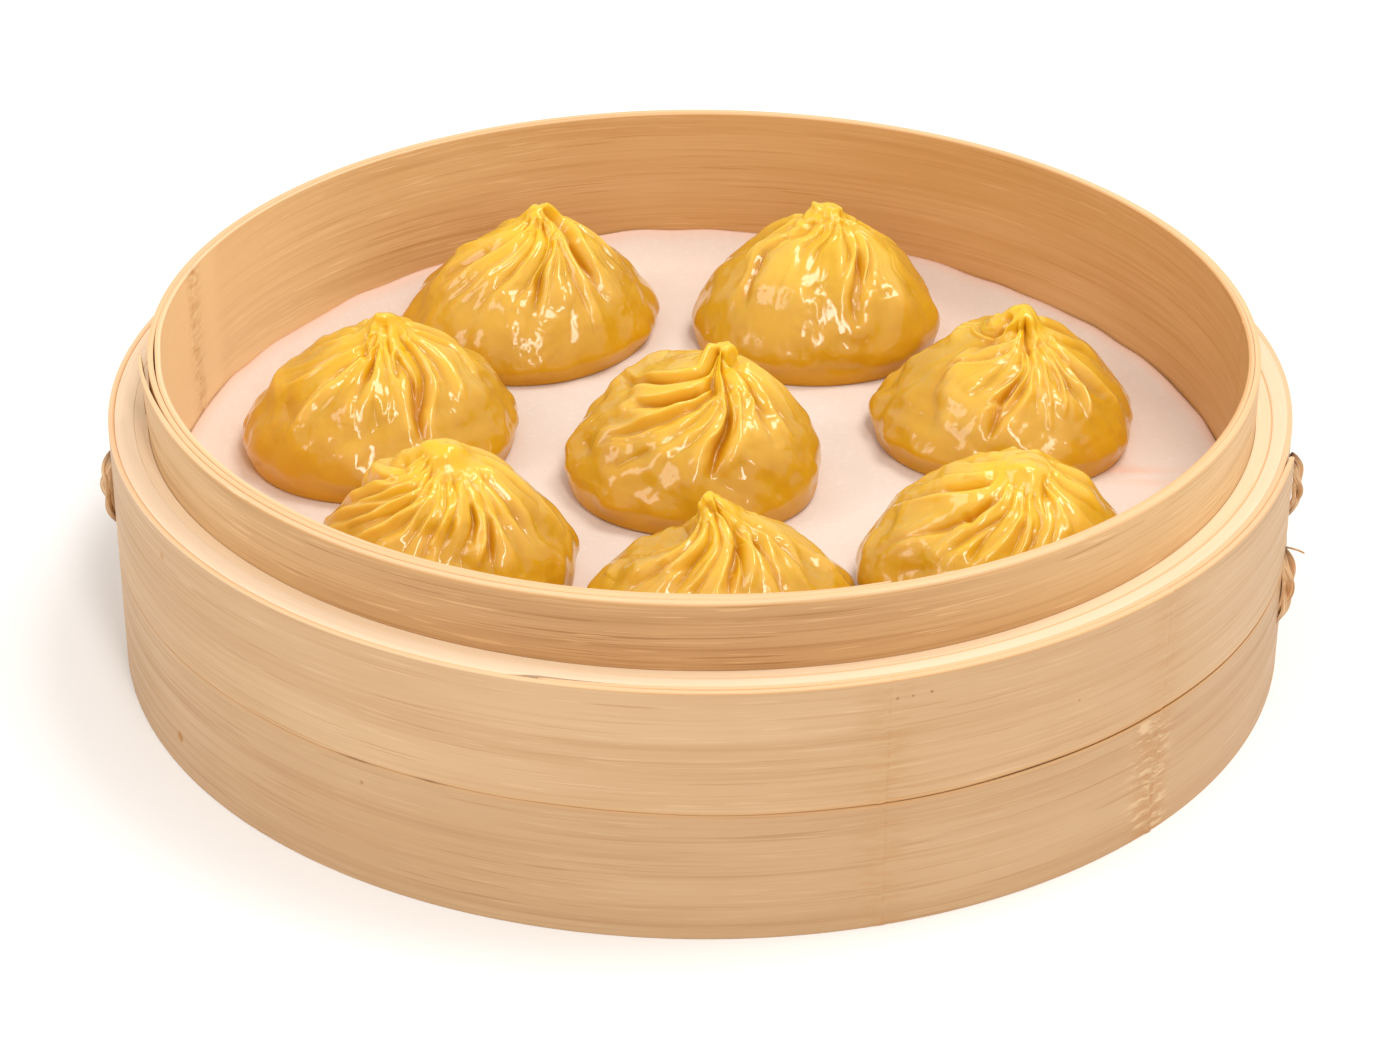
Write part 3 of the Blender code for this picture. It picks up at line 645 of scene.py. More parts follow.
def make_skins(settings):
    """Two thin skins, one above the other, each lapped over its own start. Their seam
    is open on the right, with an orange tint and painted shade in it, and nearly closed on the left."""
    near = ((-44.7, 4.0, 0.12), (-73.9, 2.5, 0.2), (0.0, 3.0, 0.25), (-11.0, 4.0, 0.25), (180.0, 3.0, 0.25))
    height = HOOP_HEIGHT / MM

    # Lower skin.
    start, lap = 150.0, 12.0
    azimuth = strip_stations(start + lap, start - 360.0, near)
    gone = (start + lap) - azimuth
    rise = ramp(gone, 360.0, 360.0 + lap)
    thick = np.where(gone < lap, 0.55, SKIN) * 1.0
    thick = 0.5 + (SKIN - 0.5) * ramp(gone, lap, lap + 10.0) * (1 - ramp(gone, 348.0, 360.0))
    outer = OUTER - 0.55 * (1 - ramp(gone, lap, lap + 10.0))
    outer = np.where(gone >= 360.0 - 12.0, OUTER, outer)
    away = turn_away(azimuth, -95.0)
    opening = 0.01 + settings.seam_gap / MM * ramp(away, 0.0, 60.0) * (1 - ramp(away, 120.0, 175.0))

    # Painted shade in the seam: faint on the left, darker from the front round to the right, with three short dark
    # spots.
    def seam_shade(around, level, outside):
        away = turn_away(around, -95.0)
        strength = 0.08 + 0.72 * ramp(away, 0.0, 50.0) * (1 - ramp(away, 120.0, 175.0))
        strength = strength + 0.6 * (bell(around, -121.5, 1.6) + bell(around, -114.0, 1.2) + bell(around, -60, 3.0))
        return np.clip(strength, 0, 0.9) * bell(level, seam_level(around), 0.22) * (outside > 0.4)

    def seam_tint(around, level, outside):
        strength = 0.25 + 0.6 * ramp(turn_away(around, -120.0), 20.0, 80.0)
        return strength * bell(level, seam_level(around), 0.5) * (outside > 0.4)

    bamboo = bamboo_material(
        "bamboo_lower_skin", (195, 156, 114), (170, 122, 78), (216, 184, 143), 0.71, 0.8, 0.46,
        knots=wall_knots(LOWER_KNOTS),
    )
    marks = {"shade": seam_shade, "tint": seam_tint, "scar": scar_mark, "wedge": wedge_mark}
    shell, values = bent_strip(
        azimuth, outer - thick, outer, 0.0, seam_level(azimuth) - opening, 0.13, False,
        relief=scar_relief, marks=marks,
    )
    build_piece("bent_lower_skin", [shell], bamboo, "lower_skin", values)

    # Upper skin: clockwise from its outer end, once round, then under itself.
    sweep = 360.0 + (SKIN_END - SKIN_UNDER_END)
    azimuth = strip_stations(SKIN_END, SKIN_END - sweep, near)
    gone = SKIN_END - azimuth
    under = skin_faces(azimuth)[1]
    dive = ramp(gone, 330.0, 358.0)
    outer = np.where(gone > 300.0, OUTER - 1.10 * dive, OUTER)
    outer = outer + 0.12 * (1 - ramp(gone, 0.0, 4.0))
    thick = SKIN - 0.3 * (1 - ramp(gone, 0.0, 2.5)) - 0.5 * ramp(gone, sweep - 12.0, sweep)

    def top_tint(around, level, outside):
        edge = bell(level, height, 0.35)
        lapped = ramp(turn_away(around, -110.0), 0.0, 20.0) * (turn_away(around, SKIN_END) < 0)
        left = 1 - ramp(turn_away(around, -120.0), 0.0, 20.0)
        return np.clip(edge * (0.45 * lapped * (outside > 0.9) + 0.5 * left * (outside < 0.2)), 0, 1)

    def both_tints(around, level, outside):
        return np.maximum(seam_tint(around, level, outside), top_tint(around, level, outside))

    bamboo = bamboo_material(
        "bamboo_upper_skin", (203, 165, 122), (178, 131, 84), (225, 193, 152), 0.53, 0.8, 0.46,
        knots=wall_knots(UPPER_KNOTS),
    )
    def top_edge(around, level, outside):
        return 0.85 * ramp(level, height - 0.25, height - 0.05)

    marks = {"shade": seam_shade, "tint": both_tints, "scar": scar_mark, "edge": top_edge}
    shell, values = bent_strip(
        azimuth, outer - thick, outer, seam_level(azimuth) + 0.01, height + 0.05 * np.cos(azimuth / 9.0), 0.13,
        False, relief=scar_relief, marks=marks,
    )
    build_piece("bent_upper_skin", [shell], bamboo, "upper_skin", values)


def make_coil(settings):
    """The coiled strip: clockwise outwards, its radius grows by the pitch each turn. Its
    outer end springs away from the turn before it, above the hoops only."""
    azimuth = strip_stations(
        COIL_START, COIL_START - COIL_SWEEP, ((167.5, 3.5, 0.2), (1.0, 2.0, 0.3), (-172.0, 16.0, 0.4), (-72.0, 4, 0.25))
    )
    gone = COIL_START - azimuth
    left = COIL_SWEEP - gone
    taper = np.minimum(ramp(gone, -2.0, 20.0), ramp(left, -6.0, 20.0))
    thick = COIL_TIP + (COIL_STRIP - COIL_TIP) * taper
    inner = COIL_INSIDE + COIL_PITCH * gone / 360.0
    inner = np.where(gone < 360.0, inner + COIL_STRIP - thick, inner)
    inner = inner - 0.22 * bell(gone, 0.0, 5.0) * (gone < 30.0)
    inner = inner - 0.24 * bell(gone, 99.0, 5.0) * (gone < 200.0)
    spring = 1.05 * ramp(-left, -19.0, 0.0) ** 1.3
    top = RIM_HEIGHT / MM - 0.12 + 0.1 * np.cos(np.radians(2.3 * azimuth)) - 0.1 * bell(left, 0, 3)
    corner = 0.17

    def relief(around, level, outside):
        lift = np.clip((level - 49.5) / (60.8 - 49.5), 0, 1)
        out = spring[:, None] * lift
        away = turn_away(around, 167.5 + 0.5 * np.cos(level * 0.9) + 0.25 * np.cos(level * 2.3))
        ridge = 0.2 * (bell(away, -0.4, 0.45) - 0.9 * bell(away, 0.35, 0.25)) * (outside < 0.5)
        ragged = np.sin(level * 5.3 + 2 * np.sin(level * 1.9)) * np.sin(np.radians(away * 210.0) + level * 2.7)
        ridge = ridge + 0.10 * ragged * bell(away, 0.3, 1.8) * (outside < 0.5)
        away = turn_away(around, 1.0)
        ridge = ridge + 0.12 * bell(away, 0.0, 0.5) * (outside < 0.5)
        return out - ridge * (gone[:, None] < 360.0)

    def scar(around, level, outside):
        away = turn_away(around, 167.5)
        first = (gone[:, None] < 360.0) * (outside < 0.5)
        return first * np.clip(0.4 * bell(away, 0.2, 1.7) + 0.3 * bell(turn_away(around, 1.0), 0.0, 0.8), 0, 1)

    # Painted shade: on the inner face behind the coil's outer end, where it springs away, and a dark line on the outer
    # face at the coil's start.
    def shade(around, level, outside):
        deep = 0.5 * bell(left[:, None], 6.0, 14.0) * (outside < 0.5) * (1 - ramp(level, 56.0, 60.6))
        return deep + 0.6 * bell(gone[:, None], -1.0, 0.6) * (outside > 0.5)

    def tint(around, level, outside):
        rim = bell(level, 60.6, 0.4) * np.where(outside > 0.6, 0.4, 0.1)
        line = 0.4 * bell(level, 60.15, 0.2) * (outside > 0.6) * (left[:, None] < 360.0)
        return np.maximum(0.6 * rim * (gone[:, None] < 700.0), line)

    def edge(around, level, outside):
        return 0.6 * ramp(level, 60.2, 60.55)

    # Painted shade: the coil's outer face darkens towards the front, most at azimuth -95, away from the key light.
    def front_shade(around, level, outside):
        away = turn_away(around, -95.0)
        front = np.where(
            away < 0, 0.42 * (1 - ramp(-away, 90.0, 160.0)) + 0.5 * bell(away, 0.0, 45.0), 0.92 * bell(away, 0.0, 55.0)
        )
        return front * (outside > 0.5) * (1 - ramp(level, 60.0, 60.4))

    def wedge(around, level, outside):
        away = turn_away(around, 168.0)
        return 0.75 * (gone[:, None] < 360.0) * (outside < 0.5) * bell(away, 0.3, 1.7)

    # Painted light: the inner face is paler on the left, facing the key light, and a little more from azimuth 160 on.
    def pale(around, level, outside):
        inner_face = (gone[:, None] < 360.0) * (outside < 0.5)
        left = ramp(np.cos(np.radians(around - 185.0)), 0.55, 0.98)
        return inner_face * (0.75 * left + 0.25 * ramp(turn_away(around, 160.0), 0.0, 3.0) * left)

    # Painted shade: the inner face darkens towards azimuth 35, away from the key light.
    def inner_shade(around, level, outside):
        inner_face = (gone[:, None] < 360.0) * (outside < 0.5)
        return 0.55 * inner_face * ramp(np.cos(np.radians(around - 35.0)), -0.3, 0.8)

    bamboo = bamboo_material(
        "bamboo_coil", (224, 184, 130), (196, 148, 90), (250, 216, 166), 0.19, 1.3, 0.5, scratch=0.6, rugged=12.0
    )
    shell, values = bent_strip(
        azimuth, inner, inner + thick, COIL_BOTTOM / MM, top, corner, False, COIL_CENTRE,
        relief=relief,
        marks={
            "scar": scar, "shade": shade, "tint": tint, "pale": pale, "inner_shade": inner_shade,
            "edge": edge, "front_shade": front_shade, "wedge": wedge,
        },
    )
    build_piece("rim_coil", [shell], bamboo, "coiled_strip", values)


# ---------------------------------------------------------------- floor


def rounded_plank(low, high, along, round_radius, seed, corner=0.5):
    """A plank whose section is a rounded rectangle and whose ends stop at the floor's
    round edge: each section point runs out to the half chord at its own distance."""
    across_low, across_high = low[1 - along] / MM, high[1 - along] / MM
    bottom, top = low[2] / MM, high[2] / MM
    turn = np.arange(0, 90.1, 22.5)
    corners = [
        (across_high - corner, top - corner, 0),
        (across_low + corner, top - corner, 90),
        (across_low + corner, bottom + corner, 180),
        (across_high - corner, bottom + corner, 270),
    ]
    section = np.array([
        (x + corner * math.cos(math.radians(start + t)), z + corner * math.sin(math.radians(start + t)))
        for x, z, start in corners for t in turn
    ])
    share = np.linspace(-1, 1, 61)[:, None]
    reach = np.sqrt(np.clip(round_radius**2 - section[:, 0] ** 2, 1, None))[None, :]
    distance = share * reach
    points = np.zeros((61, len(section), 3))
    points[..., along] = distance
    points[..., 1 - along] = section[:, 0]
    points[..., 2] = section[:, 1]
    bow = 0.06 * np.cos(distance / 17.0 + seed) + 0.04 * np.cos(distance / 7.0 + 2 * seed)
    points[..., 2] += bow - 0.12
    points = points * MM
    quads = grid_quads(61, len(section), close_columns=True)
    loop = np.arange(len(section))
    flat = np.vstack([points.reshape(-1, 3), points[0].mean(axis=0), points[-1].mean(axis=0)])
    ends = 61 * len(section)
    triangles = np.vstack([fan(loop[::-1], ends), fan(60 * len(section) + loop, ends + 1)])
    return flat, quads, triangles


def make_floor(settings):
    """Slats across the basket and the bars that carry them."""
    slat = bamboo_material("bamboo_slats", (232, 192, 142), (200, 146, 92), (250, 220, 178), 0.29, 1.0, 0.5, 0)
    bars = bamboo_material("bamboo_bars", (224, 182, 130), (190, 136, 84), (244, 210, 166), 0.83, 1.1, 0.5, 1)
    edge = max(abs(v) for n in range(SLAT_COUNT) for v in (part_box(f"floor_slat_{n + 1}")[1].x,))
    reach = math.hypot(edge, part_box("floor_slat_5")[1].y) / MM
    for number in range(1, SLAT_COUNT + 1):
        low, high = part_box(f"floor_slat_{number}")
        shell = rounded_plank(low, high, 0, max(reach, 98.4), number * 1.7)
        build_piece(f"slat_{number}", [shell], slat, f"floor_slat_{number}")
    for number in range(1, BAR_COUNT + 1):
        low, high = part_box(f"crossbar_{number}")
        shell = rounded_plank(low, high, 1, max(reach, 98.4), number * 2.3, 0.8)
        build_piece(f"bar_{number}", [shell], bars, f"crossbar_{number}")


# ---------------------------------------------------------------- liner


def make_liner(settings):
    """A thin round sheet. Its level is flat with faint cockles, and its outer centimetre
    curls up with the square of the way out, most at the back and in short ripples."""
    azimuth = np.arange(0.0, 360.0, 1.0)[None, :]
    share = np.concatenate([np.linspace(0.02, 0.86, 40), np.linspace(0.87, 1.0, 26)])[:, None]
    behind = np.clip(np.cos(np.radians(azimuth - 95.0)), 0, 1) ** 2
    gone = (COIL_START - azimuth) % 360.0
    edge = COIL_INSIDE + COIL_PITCH * gone / 360.0 * (1 - ramp(gone, 340.0, 360.0)) - settings.liner_gap / MM
    edge = edge + 0.15 * np.cos(np.radians(5 * azimuth)) + 0.08 * np.cos(np.radians(23 * azimuth + 40))
    radius = share * edge
    x = radius * np.cos(np.radians(azimuth)) + COIL_CENTRE[0]
    y = radius * np.sin(np.radians(azimuth)) + COIL_CENTRE[1]
    ground = np.stack([x, y, 0 * x], -1)
    cockle = 0.10 * waves(ground, 34.0, 10, 5) + 0.03 * waves(ground, 9.0, 10, 6)
    lift = np.clip((radius - 90.0) / 8.0, 0, 1.1) ** 2 * (1.2 + 3.4 * behind)
    ripple = ramp(radius, 91.0, 98.0) * (
        0.35 * np.cos(np.radians(11 * azimuth + 20)) + 0.22 * np.cos(np.radians(29 * azimuth))
        + 0.12 * np.cos(np.radians(47 * azimuth + 90))
    )
    thick = settings.paper_thickness / MM
    top = LINER_BOTTOM / MM + 0.33 - np.clip(0.12 + cockle, 0, 0.3) + lift + np.maximum(ripple + 0.3, 0) * 0.7
    upper = np.stack([x, y, top], -1)
    lower = np.stack([x, y, top - thick], -1)
    rows, columns = radius.shape
    grid = np.concatenate([upper, lower[::-1]])
    poles = np.array([[0, 0, top[0].mean()], [0, 0, top[0].mean() - thick]])
    points = np.vstack([grid.reshape(-1, 3), poles]) * MM
    quads = grid_quads(2 * rows, columns, close_columns=True)
    loop = np.arange(columns)
    last = (2 * rows - 1) * columns
    triangles = np.vstack([fan(loop[::-1], 2 * rows * columns), fan(last + loop, 2 * rows * columns + 1)])
    damp = 0.45 * bell(x, 80.0, 9.0) * bell(y, 3.0, 1.4) + 0.35 * bell(x, 84.0, 5.0) * bell(y, -2.0, 1.2)
    # Near the wall the mark paints the orange glow of the wall through the thin paper; damp is real stains.
    wall = 1.6 * ramp(share * np.ones_like(azimuth), 0.97, 1.0)
    damp_and_wall_glow = np.clip(damp + 0.25 * wall, 0, 1)
    values = {"damp_and_wall_glow": np.concatenate([damp_and_wall_glow.ravel(), damp_and_wall_glow[::-1].ravel(), [0, 0]])}
    build_piece(
        "liner_sheet", [(points, quads, triangles)], paper_material(settings), "paper_liner", values
    )


# ---------------------------------------------------------------- stitches

# Strands of each stitch: azimuth and level of the lower hole, azimuth and level of the
# upper hole, stand-off, width and thickness in millimetres, sideways bow, twist along the
# strand and at its middle in radians, and how far it weaves in and out.
STRANDS = {
    "lacing_left": ("stitch_left", (
        (-169.4, 28.9, -170.6, 42.0, 1.3, 1.7, 0.9, 0.5, 1.2, 0.9, 0.45),
        (-170.6, 28.8, -169.4, 42.2, 1.3, 1.7, 0.9, -0.5, -1.2, -0.9, -0.45),
        (-170.0, 29.4, -170.1, 41.7, 0.6, 2.2, 1.2, 0.0, 0.3, 0.0, 0.0),
    )),
    "lacing_right_upper": ("stitch_right_upper", (
        (-12.4, 33.4, -11.4, 45.2, 1.4, 1.2, 0.6, 0.9, 1.4, 1.0, 0.35),
        (-10.9, 32.6, -12.6, 44.6, 1.3, 1.2, 0.6, -0.7, -1.4, -1.0, -0.35),
        (-12.6, 35.0, -11.6, 43.6, 0.7, 1.6, 0.8, -0.3, 0.6, 0.3, 0.2),
    )),
    "lacing_right_lower": ("stitch_right_lower", (
        (-15.4, 13.8, -13.9, 28.0, 1.5, 2.2, 0.7, 0.5, 1.8, 1.1, 0.4),
        (-13.8, 13.6, -15.2, 28.4, 1.4, 2.0, 0.7, -0.5, -1.8, -1.1, -0.4),
        (-14.9, 15.0, -14.8, 27.4, 0.7, 1.8, 0.8, 0.2, 0.5, 0.2, 0.0),
        (-14.2, 28.9, -14.5, 28.3, 3.6, 0.26, 0.26, 0.0, 0.3, 0.0, 0.0, 1.0),
    )),
}


def strand(low_azimuth, low, high_azimuth, high, stand_off, width, thickness, bow, twist, roll, weave, free=0.0):
    """A flat strand that comes out of one hole, arches over and goes into the other.
    Its middle follows sin(pi s)^0.6 outwards, or half of that where its end is free, weaves by sin(3 pi s), and its flat section
    turns as it goes."""
    share = np.linspace(0, 1, 41)[:, None]
    bulge = np.sin(math.pi * share * (1 - 0.5 * free)) ** 0.6
    azimuth = np.radians(low_azimuth + (high_azimuth - low_azimuth) * share)
    azimuth = azimuth + bow * np.sin(math.pi * share) / OUTER
    radius = OUTER - 0.8 + (stand_off + 0.8) * bulge + weave * np.sin(3 * math.pi * share)
    level = low + (high - low) * share
    out = np.concatenate([np.cos(azimuth), np.sin(azimuth), 0 * azimuth], -1)
    side = np.concatenate([-np.sin(azimuth), np.cos(azimuth), 0 * azimuth], -1)
    middle = out * radius + np.concatenate([0 * level, 0 * level, level], -1)
    along = np.gradient(middle, axis=0)
    along /= np.linalg.norm(along, axis=1)[:, None]
    normal = np.cross(side, along)
    normal *= np.sign((normal * out).sum(axis=1))[:, None] + (np.sign((normal * out).sum(axis=1)) == 0)[:, None]
    normal /= np.linalg.norm(normal, axis=1)[:, None]
    side = np.cross(along, normal)
    turn = roll + (share - 0.5) * twist
    flat = side * np.cos(turn) + normal * np.sin(turn)
    thin = -side * np.sin(turn) + normal * np.cos(turn)
    corner = np.linspace(0, 2 * math.pi, 20, endpoint=False)[None, :, None]
    cosine, sine = np.cos(corner), np.sin(corner)
    wide = np.sign(cosine) * np.abs(cosine) ** 0.8 * width / 2
    deep = np.sign(sine) * np.abs(sine) ** 0.8 * thickness / 2 + 0.06 * np.cos(3 * corner)
    points = middle[:, None, :] + flat[:, None, :] * wide + thin[:, None, :] * deep
    count = corner.size
    rows = len(share)
    flat_points = np.vstack([points.reshape(-1, 3), points[0].mean(axis=0), points[-1].mean(axis=0)]) * MM
    loop = np.arange(count)
    triangles = np.vstack([
        fan(loop[::-1], rows * count), fan((rows - 1) * count + loop, rows * count + 1)
    ])
    # Painted shade where the strand lies close to the wall, near its holes.
    shade = np.clip(1 - bulge / 0.75, 0, 1) ** 1.5 * np.ones((1, count))
    shade = np.append(shade.ravel(), (1.0, 1.0))
    return (flat_points, grid_quads(rows, count, close_columns=True), triangles), shade


def make_stitches(settings):
    """Three cane stitches, each of flat strands that cross."""
    cane = cane_material()
    for name, (cad_node, rows) in STRANDS.items():
        made = [strand(*row) for row in rows]
        shades = np.concatenate([shade for _, shade in made])
        piece = build_piece(name, [shell for shell, _ in made], cane, cad_node, {"shade": shades})
        mesh = piece.data
        layer = mesh.uv_layers.new(name="strand")
        corner_points = np.zeros(len(mesh.loops), np.int32)
        mesh.loops.foreach_get("vertex_index", corner_points)
        per_strand = 41 * 20 + 2
        place = np.minimum(corner_points % per_strand, 41 * 20 - 1)
        along = (place // 20) * 0.0005
        across = (place % 20) * 0.00025 + (corner_points // per_strand) * 0.1
        layer.data.foreach_set("uv", np.stack([along, across], -1).astype(np.float32).ravel())


# ---------------------------------------------------------------- dumplings

KNOB_STEPS = 512
PROFILE_STEPS = 150
FOOT_TUCK = 0.055
LEAN_POWER = 1.5

